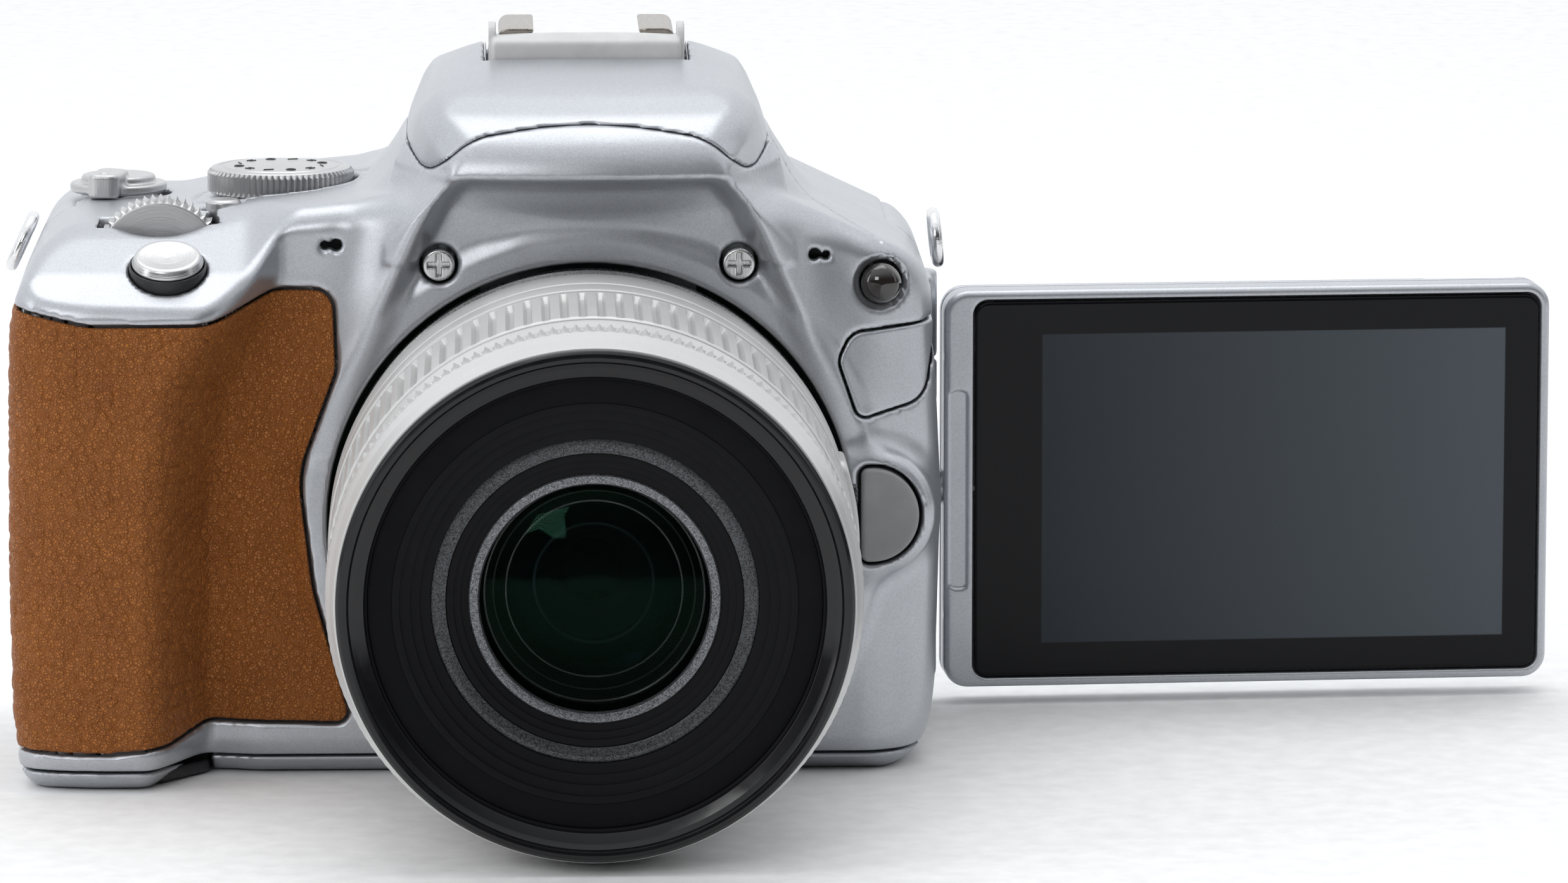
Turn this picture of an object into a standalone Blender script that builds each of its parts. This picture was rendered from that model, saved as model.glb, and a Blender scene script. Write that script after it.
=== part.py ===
"""Single-lens reflex camera with a zoom lens and a swinging screen, as separate pieces on real joints.

The frame: +X towards the screen's hinge side, the lens towards -Y, +Z up. The origin is on the base, below the
optical axis, in the plane of the sensor. Every length below is in millimetres; MM turns it into metres.
"""

import math

import bmesh
import bpy
from mathutils import Matrix, Vector

MM = 0.001
GAP = 0.3

# Body
AXIS_Z = 33.6
FRONT_Y = -41.5
GRIP_Y = -52.5
REAR_Y = 13.6
LEFT_X = -76.0
RIGHT_X = 46.9
TOP_Z = 71.6
WALL = 2.6
SKIN = 1.2
BASE_SEAM_Z = 2.6
TOP_SEAM_Z = 68.0
GRIP_SEAM_Z = 64.2
SIDE_SEAM_Y = -12.0
FAR = 90.0

# Lens: distances are measured forwards from the sensor plane
FLANGE = 44.0
LENS_RADIUS = 33.25
LENS_FRONT = 105.8
ZOOM_BACK = 64.0
ZOOM_FRONT = 86.6
FOCUS_FRONT = 104.6
FOCUS_LIP = 99.0
MOUNT_BORE = 26.6

# Screen
HINGE_X = 44.5
HINGE_Y = 10.0
SCREEN_MID_Z = 29.5
SCREEN_WIDTH = 82.5
SCREEN_HEIGHT = 54.2
SCREEN_THICK = 7.2
SCREEN_START = 3.6
SCREEN_YAW = 4.0

# Flash
FLASH_PIVOT = (0.0, 0.0, 86.0)
FLASH_END_RADIUS = 4.6
SHOE_CLEARANCE = 22.3
SHOE_HALF = 13.35

# Controls on top
SHUTTER_AT = (-54.0, -44.6, 67.6)
SHUTTER_AXIS = (0.0, -0.36, 0.93)
SHUTTER_RADIUS = 4.7
MODE_AT = (-40.2, -12.0, 75.0)
MODE_RADIUS = 9.6
MODE_FLOOR = 72.7
MAIN_AT = (-55.4, -30.1, 66.2)
MAIN_RADIUS = 8.6
POWER_AT = (-62.0, -1.0, 72.0)
ISO_AT = (-47.4, -24.0, 73.0)

# Controls at the rear: across, up, radius
REAR_BUTTONS = {
    "menu_button": (36.0, 62.6, 2.6),
    "info_button": (26.5, 62.6, 2.6),
    "live_view_button": (-27.5, 62.8, 3.0),
    "ae_lock_button": (-61.5, 60.2, 2.4),
    "exposure_button": (-50.0, 51.0, 2.6),
    "playback_button": (-51.0, 16.5, 2.6),
}
KEYS_X = -57.6
KEYS_Z = 33.5
KEYS_RADIUS = 9.2

# Front trim and doors
SCREW_X = 19.3
SCREW_Z = 65.2
LAMP_X = 37.0
LAMP_Z = 63.6
RELEASE_X = 38.0
RELEASE_Z = 34.7
TERMINAL_PIVOT = (43.4, -36.95, 52.5)
JACK_X = 38.4
BATTERY_PIVOT = (-71.0, -27.7, 0.25)
TRIPOD_Y = -20.0

# Outlines: each corner is (across, up, corner radius)
FRONT_OUTLINE = [
    (-75.4, 0.0, 5.0),
    (45.4, 0.0, 6.0),
    (RIGHT_X, 36.0, 60.0),
    (44.6, 67.8, 6.0),
    (25.0, 76.0, 10.0),
    (-25.0, 76.2, 3.0),
    (-30.5, 75.0, 4.0),
    (-42.0, 73.9, 8.0),
    (-53.5, TOP_Z, 8.0),
    (-70.8, TOP_Z, 5.0),
    (-75.4, 62.0, 8.0),
    (LEFT_X, 30.0, 60.0),
]
PLAN_OUTLINE = [
    (RIGHT_X, REAR_Y, 4.0),
    (-73.4, REAR_Y, 5.0),
    (LEFT_X, -15.0, 40.0),
    (-75.6, -44.0, 9.0),
    (-66.0, GRIP_Y, 8.0),
    (-53.0, GRIP_Y, 8.0),
    (-38.0, -40.6, 6.0),
    (38.0, FRONT_Y, 8.0),
    (RIGHT_X, -34.0, 7.0),
]
HUMP_SIDE = [
    (-40.0, 60.0, 0.0),
    (12.0, 60.0, 0.0),
    (REAR_Y, 76.0, 4.0),
    (11.0, 84.0, 5.0),
    (1.0, 90.4, 4.0),
    (-9.0, 94.0, 5.0),
    (-24.0, 92.4, 20.0),
    (-38.0, 90.2, 20.0),
    (-47.6, 87.4, 4.0),
    (-50.8, 83.6, 3.0),
    (-50.4, 78.9, 0.6),
    (-42.5, 71.0, 6.0),
    (-41.0, 64.0, 3.0),
]
HUMP_FRONT = [
    (-27.0, 60.0, 0.0),
    (27.0, 60.0, 0.0),
    (25.8, 75.0, 4.0),
    (20.2, 90.0, 3.0),
    (12.4, 94.4, 2.0),
    (-12.4, 94.4, 2.0),
    (-20.2, 90.0, 3.0),
    (-25.8, 75.0, 4.0),
]
GRIP_SLOPE = [
    (-24.0, 76.0, 0.0),
    (-24.0, FAR, 0.0),
    (-70.0, FAR, 0.0),
    (-70.0, 52.0, 0.0),
    (-54.0, 61.0, 6.0),
    (-46.0, 66.6, 10.0),
]
LEATHER_OUTLINE = [
    (-FAR, 4.0, 0.0),
    (-62.0, 4.2, 4.0),
    (-51.0, 6.8, 4.0),
    (-31.0, 7.0, 1.5),
    (-36.6, 26.0, 10.0),
    (-37.2, 42.0, 12.0),
    (-32.6, 54.0, 6.0),
    (-34.5, 63.8, 3.0),
    (-41.0, 63.8, 4.0),
    (-51.0, 60.8, 6.0),
    (-FAR, 60.4, 0.0),
]
TERMINAL_OUTLINE = [
    (34.6, 47.4, 2.0),
    (43.4, 47.4, 1.0),
    (43.4, 57.6, 1.0),
    (33.4, 57.6, 3.0),
    (32.4, 53.0, 3.0),
]

LOOKS = {}


def look(name, colour, roughness, metallic=0.0):
    """Principled material, made once for each name."""
    if name not in LOOKS:
        made = bpy.data.materials.new(name)
        made.use_nodes = True
        shader = made.node_tree.nodes["Principled BSDF"]
        shader.inputs["Base Color"].default_value = (*colour, 1.0)
        shader.inputs["Roughness"].default_value = roughness
        shader.inputs["Metallic"].default_value = metallic
        LOOKS[name] = made
    return LOOKS[name]


def silver(name):
    return look(name, (0.62, 0.61, 0.59), 0.36, 0.6)


def steel(name):
    return look(name, (0.52, 0.50, 0.47), 0.28, 1.0)


def black(name):
    return look(name, (0.02, 0.02, 0.022), 0.4)


def ivory(name):
    return look(name, (0.78, 0.77, 0.74), 0.35, 0.2)


def glass(name):
    return look(name, (0.10, 0.12, 0.14), 0.03)


def rounded(corners, steps=3):
    """Outline with each corner (u, v, radius) replaced by an arc of that radius."""
    outline = []
    for index, (u, v, radius) in enumerate(corners):
        corner = Vector((u, v))
        back = (Vector(corners[index - 1][:2]) - corner).normalized()
        ahead = (Vector(corners[(index + 1) % len(corners)][:2]) - corner).normalized()
        half = back.angle(ahead) / 2
        if radius < 0.01 or half > math.radians(89.5):
            outline.append(corner)
            continue
        centre = corner + (back + ahead).normalized() * radius / math.sin(half)
        start = (corner + back * radius / math.tan(half) - centre).normalized()
        end = (corner + ahead * radius / math.tan(half) - centre).normalized()
        for step in range(steps + 1):
            outline.append(centre + start.slerp(end, step / steps) * radius)
    return [tuple(point) for point in outline]


def grown(corners, distance):
    """Counter-clockwise corners (u, v, radius) of an outline moved outwards by a distance."""
    moved = []
    for index, (u, v, radius) in enumerate(corners):
        here = Vector((u, v))
        before = (here - Vector(corners[index - 1][:2])).normalized()
        after = (Vector(corners[(index + 1) % len(corners)][:2]) - here).normalized()
        normal = Vector((before.y + after.y, -before.x - after.x)).normalized()
        spot = here + normal * distance / normal.dot(Vector((after.y, -after.x)))
        convex = before.cross(after) > 0
        moved.append((spot.x, spot.y, max(0.0, radius + (distance if convex else -distance))))
    return moved


def outward(mesh):
    """Mesh with every face pointing out."""
    bmesh.ops.recalc_face_normals(mesh, faces=mesh.faces)
    if mesh.calc_volume(signed=True) < 0:
        bmesh.ops.reverse_faces(mesh, faces=mesh.faces)
    return mesh


def prism(outline, along, low, high):
    """Outline extruded from low to high along x, y or z."""
    place = {
        "x": lambda u, v, w: (w, u, v),
        "y": lambda u, v, w: (u, w, v),
        "z": lambda u, v, w: (u, v, w),
    }[along]
    mesh = bmesh.new()
    face = mesh.faces.new([mesh.verts.new(place(u, v, low)) for u, v in outline])
    made = bmesh.ops.extrude_face_region(mesh, geom=[face])["geom"]
    moved = [item for item in made if isinstance(item, bmesh.types.BMVert)]
    bmesh.ops.translate(mesh, verts=moved, vec=place(0, 0, high - low))
    return outward(mesh)


def block(low, high):
    """Plain box between two corners."""
    mesh = bmesh.new()
    low = Vector(low)
    high = Vector(high)
    size = Matrix.Diagonal((*(high - low), 1.0))
    bmesh.ops.create_cube(mesh, size=1.0, matrix=Matrix.Translation((low + high) / 2) @ size)
    return mesh


def eased_block(low, high, radius, steps=2, along="y"):
    """Box with rounded corners round one axis and a small chamfer on its ends."""
    keep = {"x": (1, 2, 0), "y": (0, 2, 1), "z": (0, 1, 2)}[along]
    u, v, w = keep
    corners = [
        (low[u], low[v], radius),
        (high[u], low[v], radius),
        (high[u], high[v], radius),
        (low[u], high[v], radius),
    ]
    return prism(rounded(corners, steps), along, low[w], high[w])


def turned(profile, axis, centre, segments=24):
    """Closed profile of (radius, height) swept round an axis through a centre."""
    mesh = bmesh.new()
    ring = [mesh.verts.new((radius, 0, height)) for radius, height in profile]
    edges = [mesh.edges.new((ring[i - 1], ring[i])) for i in range(len(ring))]
    up = (0, 0, 1)
    around = 2 * math.pi
    bmesh.ops.spin(mesh, geom=ring + edges, cent=(0, 0, 0), axis=up, angle=around, steps=segments, use_merge=True)
    bmesh.ops.remove_doubles(mesh, verts=mesh.verts, dist=1e-4)
    bmesh.ops.dissolve_degenerate(mesh, edges=mesh.edges, dist=1e-4)
    bmesh.ops.delete(mesh, geom=[edge for edge in mesh.edges if not edge.link_faces], context="EDGES")
    outward(mesh)
    aim = Vector((0, 0, 1)).rotation_difference(Vector(axis)).to_matrix().to_4x4()
    bmesh.ops.transform(mesh, matrix=Matrix.Translation(centre) @ aim, verts=mesh.verts)
    return mesh


def rod(radius, start, end, segments=16):
    """Round bar between two points, with a narrow chamfer on both rims."""
    axis = Vector(end) - Vector(start)
    chamfer = min(0.3, radius * 0.2, axis.length * 0.2)
    profile = [
        (0, 0),
        (radius - chamfer, 0),
        (radius, chamfer),
        (radius, axis.length - chamfer),
        (radius - chamfer, axis.length),
        (0, axis.length),
    ]
    return turned(profile, axis.normalized(), start, segments)


def lens_turned(profile, segments=40):
    """Ring or disc on the optical axis; heights are distances forwards from the sensor plane."""
    return turned(profile, (0, -1, 0), (0, 0, AXIS_Z), segments)


def solid(name, mesh, surface, pivot=(0, 0, 0)):
    """Object with its origin at a pivot point, from a mesh in world millimetres."""
    bmesh.ops.translate(mesh, verts=mesh.verts, vec=-Vector(pivot))
    bmesh.ops.scale(mesh, verts=mesh.verts, vec=(MM, MM, MM))
    data = bpy.data.meshes.new(name)
    mesh.to_mesh(data)
    mesh.free()
    data.shade_smooth()
    data.set_sharp_from_angle(angle=math.radians(30))
    data.materials.append(surface)
    item = bpy.data.objects.new(name, data)
    item.location = Vector(pivot) * MM
    bpy.context.collection.objects.link(item)
    return item


def guide(name, mesh):
    """Hidden solid that shapes other pieces."""
    item = solid(name, mesh, black("guide"))
    item.hide_render = True
    item.display_type = "WIRE"
    return item


def combine(item, operation, *tools):
    """Exact Booleans with each tool in turn."""
    for tool in tools:
        change = item.modifiers.new(operation.lower() + "_" + tool.name, "BOOLEAN")
        change.operation = operation
        change.solver = "EXACT"
        change.object = tool
    return item


def cut(item, *tools):
    return combine(item, "DIFFERENCE", *tools)


def meet(item, *tools):
    return combine(item, "INTERSECT", *tools)


def hole(name, radius, start, end, segments=24):
    """Guide for a round hole between two points."""
    mesh = bmesh.new()
    axis = Vector(end) - Vector(start)
    middle = (Vector(start) + Vector(end)) / 2
    aim = Vector((0, 0, 1)).rotation_difference(axis).to_matrix().to_4x4()
    bmesh.ops.create_cone(
        mesh,
        cap_ends=True,
        segments=segments,
        radius1=radius,
        radius2=radius,
        depth=axis.length,
        matrix=Matrix.Translation(middle) @ aim,
    )
    return guide(name, mesh)


def hump_volume(name, inset):
    """Viewfinder hump: its side outline met with its front outline."""
    form = guide(name, prism(rounded(grown(HUMP_SIDE, -inset)), "x", -40, 40))
    face = guide(name + "_face", prism(rounded(grown(HUMP_FRONT, -inset)), "y", -70, 30))
    return meet(form, face)


def body_volume(name, inset):
    """Whole body moved inwards by an inset: front and plan outlines met, grip slope cut, hump added."""
    form = guide(name, prism(rounded(grown(FRONT_OUTLINE, -inset)), "y", -70, 40))
    plan = guide(name + "_plan", prism(rounded(grown(PLAN_OUTLINE, -inset)), "z", -20, 80))
    slope = guide(name + "_slope", prism(rounded(grown(GRIP_SLOPE, inset)), "x", -100, -36 + inset))
    meet(form, plan)
    cut(form, slope)
    return combine(form, "UNION", hump_volume(name + "_hump", inset))


def flash_region(name, gap):
    """Room that the flash head takes up: above the curved seam, round the hot shoe, back to its pivot."""
    seam = [
        (-30, 79.2, 0),
        (-21.9, 79.2, 0),
        (-14.9, 84.8, 12),
        (0.0, 88.0, 40),
        (14.9, 84.8, 12),
        (21.9, 79.2, 0),
        (30, 79.2, 0),
        (30, 110, 0),
        (-30, 110, 0),
    ]
    pivot_y = FLASH_PIVOT[1]
    pivot_z = FLASH_PIVOT[2]
    end = [
        (
            pivot_y + FLASH_END_RADIUS * math.cos(math.radians(angle)),
            pivot_z + FLASH_END_RADIUS * math.sin(math.radians(angle)),
            0.0,
        )
        for angle in range(-90, 91, 15)
    ]
    side = [(-60, 79.2, 0), (-36, 79.2, 0), *end, (pivot_y - 1, 110, 0), (-60, 110, 0)]
    form = guide(name, prism(rounded(grown(seam, gap)), "y", -70, 30))
    reach = guide(name + "_reach", prism(rounded(grown(side, gap)), "x", -40, 40))
    half = Vector((SHOE_HALF - gap, 0, 0))
    pivot = Vector(FLASH_PIVOT)
    shoe = hole(name + "_shoe", SHOE_CLEARANCE - gap, pivot - half, pivot + half, 48)
    meet(form, reach)
    return cut(form, shoe)


def leather_region(name, gap):
    """Front outline of the grip's skin, forwards of the seam with the rear cover."""
    return guide(name, prism(rounded(grown(LEATHER_OUTLINE, gap)), "y", -80, SIDE_SEAM_Y - 2 + gap))


def terminal_region(name, gap):
    return guide(name, prism(rounded(grown(TERMINAL_OUTLINE, gap)), "y", -60, -20))


def skin_recess(name, region, depth):
    """What a region leaves outside the body volume at a depth: the room for a skin or a cover."""
    return cut(region, body_volume(name, depth))


def top_region(name, gap):
    """Space of the top cover: everything above its seam, and the top of the grip round the shutter button."""
    form = guide(name, block((-FAR, -FAR, TOP_SEAM_Z + GAP - gap), (FAR, FAR, FAR + 30)))
    low = Vector((-FAR - 5, -FAR - 5, GRIP_SEAM_Z + GAP - gap))
    grip = guide(name + "_grip", block(low, (-42.5 + gap, SIDE_SEAM_Y - 3.0 + gap, TOP_SEAM_Z + 9)))
    return combine(form, "UNION", grip)


def shutter_bore(name):
    along = Vector(SHUTTER_AXIS).normalized() * 9
    return hole(name, SHUTTER_RADIUS + GAP, Vector(SHUTTER_AT) - along, Vector(SHUTTER_AT) + along)


def make_front_cover(inner):
    front_half = block((-FAR, -FAR, BASE_SEAM_Z + GAP), (FAR, SIDE_SEAM_Y, FAR))
    cover = solid("front_cover", front_half, silver("front_cover"))
    meet(cover, body_volume("front_form", 0.0))
    cut(cover, top_region("front_limit", GAP))
    boss = guide("mount_boss", lens_turned([(20, 38), (37.2, 38), (37.2, 41.7), (35.2, 42.7), (20, 42.7)]))
    meet(boss, guide("boss_limit", block((-FAR, -FAR, BASE_SEAM_Z + 2 * GAP), (FAR, FAR, TOP_SEAM_Z - GAP))))
    release = hole("release_boss", 6.6, (RELEASE_X, -36.0, RELEASE_Z), (RELEASE_X, -43.6, RELEASE_Z))
    combine(cover, "UNION", boss, release)
    bore = [(0, 30), (MOUNT_BORE, 30), (MOUNT_BORE, 40.7), (33.4, 40.7), (33.4, 60), (0, 60)]
    cut(cover, inner, guide("mount_bore", lens_turned(bore)))
    cut(cover, hole("release_bore", 4.7, (RELEASE_X, -34.0, RELEASE_Z), (RELEASE_X, -60.0, RELEASE_Z)))
    cut(cover, shutter_bore("front_shutter_bore"))
    cut(cover, skin_recess("leather_floor", leather_region("leather_recess", GAP), SKIN + GAP))
    cut(cover, skin_recess("terminal_floor", terminal_region("terminal_recess", GAP), SKIN + 2 * GAP))
    jack_z = TERMINAL_PIVOT[2]
    cut(cover, hole("jack_opening", 3.9, (JACK_X, -60.0, jack_z), (JACK_X, -20.0, jack_z)))
    for side, x in (("left", -SCREW_X), ("right", SCREW_X)):
        cut(cover, hole("screw_bore_" + side, 2.3, (x, -60, SCREW_Z), (x, -36, SCREW_Z), 16))
    cut(cover, hole("lamp_bore", 2.9, (LAMP_X, -60, LAMP_Z), (LAMP_X, -30, LAMP_Z), 16))
    return cover


def make_rear_cover(inner):
    rear_half = block((-FAR, SIDE_SEAM_Y + GAP, BASE_SEAM_Z + GAP), (FAR, FAR, TOP_SEAM_Z))
    cover = solid("rear_cover", rear_half, silver("rear_cover"))
    meet(cover, body_volume("rear_form", 0.0))
    chamber = guide("rear_chamber", block((-FAR, -60, -10), (FAR, 4.4, FAR)))
    cut(cover, meet(chamber, inner))
    cut(cover, guide("button_chamber", block((-70.0, 4.0, 8.0), (-45.0, 11.2, 64.0))))
    low = SCREEN_MID_Z - SCREEN_HEIGHT / 2 - 0.5
    high = SCREEN_MID_Z + SCREEN_HEIGHT / 2 + 0.5
    left = HINGE_X - SCREEN_START - SCREEN_WIDTH - 0.6
    cut(cover, guide("screen_recess", block((left, 6.1, low - 5), (HINGE_X, 30, high))))
    cut(cover, guide("hinge_notch", block((38.9, 4.6, low - 5), (60, 30, high))))
    for end, z0, z1 in (("low", BASE_SEAM_Z + 0.8, 11.7), ("high", 47.3, high + 2)):
        ear = guide("hinge_ear_" + end, block((HINGE_X - 2.6, 3.0, z0 + 0.1), (HINGE_X + 1.9, 9.2, z1 - 0.1)))
        knuckle = guide("hinge_knuckle_" + end, rod(2.9, (HINGE_X, HINGE_Y, z0), (HINGE_X, HINGE_Y, z1), 18))
        combine(cover, "UNION", ear, knuckle)
    cut(cover, hole("hinge_pin_bore", 1.3, (HINGE_X, HINGE_Y, 7), (HINGE_X, HINGE_Y, 52), 12))
    for name, spec in REAR_BUTTONS.items():
        cut(cover, hole(name + "_bore", spec[2] + GAP, (spec[0], 3.0, spec[1]), (spec[0], 20.0, spec[1]), 20))
    cut(cover, hole("keys_bore", KEYS_RADIUS + GAP + 0.2, (KEYS_X, 3.0, KEYS_Z), (KEYS_X, 20.0, KEYS_Z), 32))
    return cover


def make_top_cover(inner):
    upper = block((-FAR - 1, -FAR - 1, 55), (FAR + 1, FAR + 1, FAR + 31))
    cover = solid("top_cover", upper, silver("top_cover"))
    meet(cover, body_volume("top_form", 0.0), top_region("top_limit", 0.0))
    cut(cover, inner, flash_region("flash_room", GAP))
    for name, at, radius in (("mode", MODE_AT, 2.3), ("power", POWER_AT, 2.3), ("iso", ISO_AT, 2.5)):
        cut(cover, hole(name + "_bore", radius, (at[0], at[1], 60), (at[0], at[1], 90), 16))
    mode_x, mode_y, _ = MODE_AT
    cut(cover, hole("mode_well", MODE_RADIUS + 0.6, (mode_x, mode_y, MODE_FLOOR), (mode_x, mode_y, 90), 48))
    slot_back = Vector(MAIN_AT) + Vector((0, 3.3, 0))
    slot_front = Vector(MAIN_AT) - Vector((0, 3.3, 0))
    cut(cover, hole("dial_slot", MAIN_RADIUS + 0.5, slot_front, slot_back, 32))
    cut(cover, shutter_bore("shutter_bore"))
    cut(cover, guide("eyepiece_window", eased_block((-11.3, 8.0, 70.2), (11.3, 20.0, 84.4), 2.0)))
    cut(cover, hole("diopter_bore", 2.5, (21.4, 5.0, 77.0), (21.4, 20.0, 77.0), 16))
    cut(cover, guide("shoe_seat", block((-12.6, -20.9, 88.0), (12.6, 0.6, 100.0))))
    room = [(-46.9, 95.0), (-46.9, 84.3), (-40.4, 79.2), (-29.6, 79.2), (-29.6, 95.0)]
    cut(cover, guide("flash_housing_room", prism(room, "x", -14.4, 14.4)))
    return cover


def make_bottom_cover():
    cover = solid("bottom_cover", block((-FAR, -FAR, -5), (FAR, FAR, BASE_SEAM_Z)), silver("bottom_cover"))
    meet(cover, body_volume("bottom_form", 0.0))
    cut(cover, hole("tripod_bore", 5.8, (0, TRIPOD_Y, -5), (0, TRIPOD_Y, 5)))
    cut(cover, guide("battery_mouth", block((-71.3, -45.8, -5), (-49.2, -9.7, 5))))
    cut(cover, guide("screen_clearance", block((-43.0, 5.8, 1.6), (60, 30, 5))))
    return cover


def make_skins():
    tan = look("grip_leather", (0.36, 0.15, 0.05), 0.6)
    leather = solid("grip_leather", prism(rounded(LEATHER_OUTLINE), "y", -80, SIDE_SEAM_Y - 2), tan)
    meet(leather, body_volume("leather_form", 0.0))
    cut(leather, body_volume("leather_core", SKIN))
    plate = prism(rounded(TERMINAL_OUTLINE), "y", -60, -20)
    door = solid("terminal_cover", plate, silver("terminal_cover"), TERMINAL_PIVOT)
    meet(door, body_volume("terminal_form", 0.0))
    cut(door, body_volume("terminal_core", SKIN))
    middle = TERMINAL_PIVOT[2]
    plug = rod(3.4, (JACK_X, -36.0, middle), (JACK_X, -29.0, middle), 20)
    jacks = solid("terminal_jacks", plug, black("terminal_jacks"))
    slot = block((JACK_X - 2.0, -60, middle - 0.9), (JACK_X + 2.0, -33.5, middle + 0.9))
    cut(jacks, guide("jack_slot", slot))


def make_front_trim():
    for side, x in (("left", -SCREW_X), ("right", SCREW_X)):
        name = "front_screw_" + side
        screw = solid(name, rod(2.0, (x, -36.5, SCREW_Z), (x, -41.8, SCREW_Z), 16), steel(name))
        for arm, wide, tall in (("cross_wide_", 1.4, 0.3), ("cross_tall_", 0.3, 1.4)):
            low = (x - wide, -45, SCREW_Z - tall)
            high = (x + wide, -40.8, SCREW_Z + tall)
            cut(screw, guide(arm + side, block(low, high)))
    solid("lamp_window", rod(2.6, (LAMP_X, -34.0, LAMP_Z), (LAMP_X, -41.6, LAMP_Z), 16), black("lamp_window"))
    ring = [(MOUNT_BORE, 41.3), (33.1, 41.3), (33.1, 43.3), (32.4, FLANGE), (MOUNT_BORE, FLANGE)]
    solid("lens_mount_ring", lens_turned(ring), steel("lens_mount_ring"))
    release_at = (RELEASE_X, -36.0, RELEASE_Z)
    button = rod(4.4, release_at, (RELEASE_X, -44.9, RELEASE_Z), 24)
    solid("lens_release_button", button, look("lens_release_button", (0.30, 0.30, 0.30), 0.4), release_at)
    socket = turned([(3.2, 0.3), (5.5, 0.3), (5.5, 9.0), (3.2, 9.0)], (0, 0, 1), (0, TRIPOD_Y, 0), 24)
    solid("tripod_socket", socket, steel("tripod_socket"))


def loop(points, radius):
    """Closed wire loop through points, as a swept ring of square-eased section."""
    mesh = bmesh.new()
    rings = []
    count = len(points)
    for index, point in enumerate(points):
        here = Vector(point)
        tangent = (Vector(points[(index + 1) % count]) - Vector(points[index - 1])).normalized()
        side = Vector((1, 0, 0)).cross(tangent).normalized()
        up = tangent.cross(side)
        ring = []
        for step in range(8):
            angle = step * math.pi / 4
            ring.append(mesh.verts.new(here + side * radius * math.cos(angle) + up * radius * math.sin(angle)))
        rings.append(ring)
    for index in range(count):
        before = rings[index - 1]
        after = rings[index]
        for step in range(8):
            mesh.faces.new((before[step - 1], before[step], after[step], after[step - 1]))
    return outward(mesh)


def make_strap_lugs():
    """Upright wire loops that stand off the shoulders, in the front-back plane."""
    for side, x, lean in (("left", -76.0, 2.8), ("right", 46.7, -0.6)):
        arc = [(y, z) for y, z in rounded([(-9, 62.6, 2), (-1, 62.6, 2), (-1, 68.6, 3), (-9, 68.6, 3)], 3)]
        points = [(x + lean * (z - 62.6) / 6.0, y, z) for y, z in arc]
        solid("strap_lug_" + side, loop(points, 0.8), look("strap_lug_" + side, (0.8, 0.8, 0.8), 0.12, 1.0))


def knurled_outline(radius, depth, teeth):
    """Round outline with a tooth for every other pair of points."""
    outline = []
    for tooth in range(teeth):
        for part, level in ((0.0, 0.0), (0.5, 0.0), (0.55, depth), (0.95, depth)):
            angle = 2 * math.pi * (tooth + part) / teeth
            outline.append(((radius - level) * math.cos(angle), (radius - level) * math.sin(angle)))
    return outline


def shifted(outline, u, v):
    return [(a + u, b + v) for a, b in outline]


def shaft(name, at, radius, reach):
    """Guide for a shaft that hangs below a top control."""
    return guide(name, rod(radius, (at[0], at[1], at[2] - reach), (at[0], at[1], at[2] + 1.0), 12))


def make_top_controls():
    x, y, z = MODE_AT
    dial_rim = prism(shifted(knurled_outline(MODE_RADIUS, 0.5, 24), x, y), "z", MODE_FLOOR + GAP, 76.6)
    dial = solid("mode_dial", dial_rim, silver("mode_dial"), MODE_AT)
    combine(dial, "UNION", shaft("mode_shaft", MODE_AT, 2.0, 10.0))

    x, y, z = MAIN_AT
    wheel = prism(shifted(knurled_outline(MAIN_RADIUS, 0.5, 24), x, z), "y", y - 2.8, y + 2.8)
    solid("main_dial", wheel, silver("main_dial"), MAIN_AT)

    x, y, z = POWER_AT
    collar = rod(6.2, (x, y, TOP_Z + GAP), (x, y, z + 1.4), 24)
    lever = solid("power_switch", collar, silver("power_switch"), POWER_AT)
    tab = guide("power_tab", eased_block((x - 3.6, y - 8.6, 72.2), (x - 0.4, y - 2.0, 75.0), 1.0, along="z"))
    combine(lever, "UNION", tab, shaft("power_shaft", POWER_AT, 2.0, 6.0))

    x, y, z = ISO_AT
    solid("iso_button", rod(2.2, (x, y, z - 4.5), (x, y, z + 0.6), 16), silver("iso_button"), ISO_AT)

    along = Vector(SHUTTER_AXIS).normalized()
    button = rod(SHUTTER_RADIUS, Vector(SHUTTER_AT) - along * 3.6, Vector(SHUTTER_AT) + along * 1.6, 28)
    solid("shutter_button", button, steel("shutter_button"), SHUTTER_AT)


def make_flash():
    head = solid("flash_head", block((-40, -60, 70), (40, 30, 100)), silver("flash_head"), FLASH_PIVOT)
    meet(head, hump_volume("flash_form", 0.0), flash_region("flash_fill", 0.0))
    housing = [(-46.0, 88.4), (-46.0, 85.4), (-39.6, 80.4), (-30.0, 80.4), (-30.0, 89.6), (-38.0, 89.0)]
    combine(head, "UNION", guide("flash_housing", prism(housing[::-1], "x", -14.0, 14.0)))
    window = [(-46.6, 84.6, 0), (-40.2, 79.6, 0), (-38.8, 81.4, 0), (-45.2, 86.4, 0)]
    cut(head, guide("window_room", prism(rounded(grown(window, GAP)), "x", -12.3, 12.3)))
    pane = prism(rounded(window), "x", -12.0, 12.0)
    solid("flash_window", pane, look("flash_window", (0.9, 0.9, 0.88), 0.2), FLASH_PIVOT)


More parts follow.
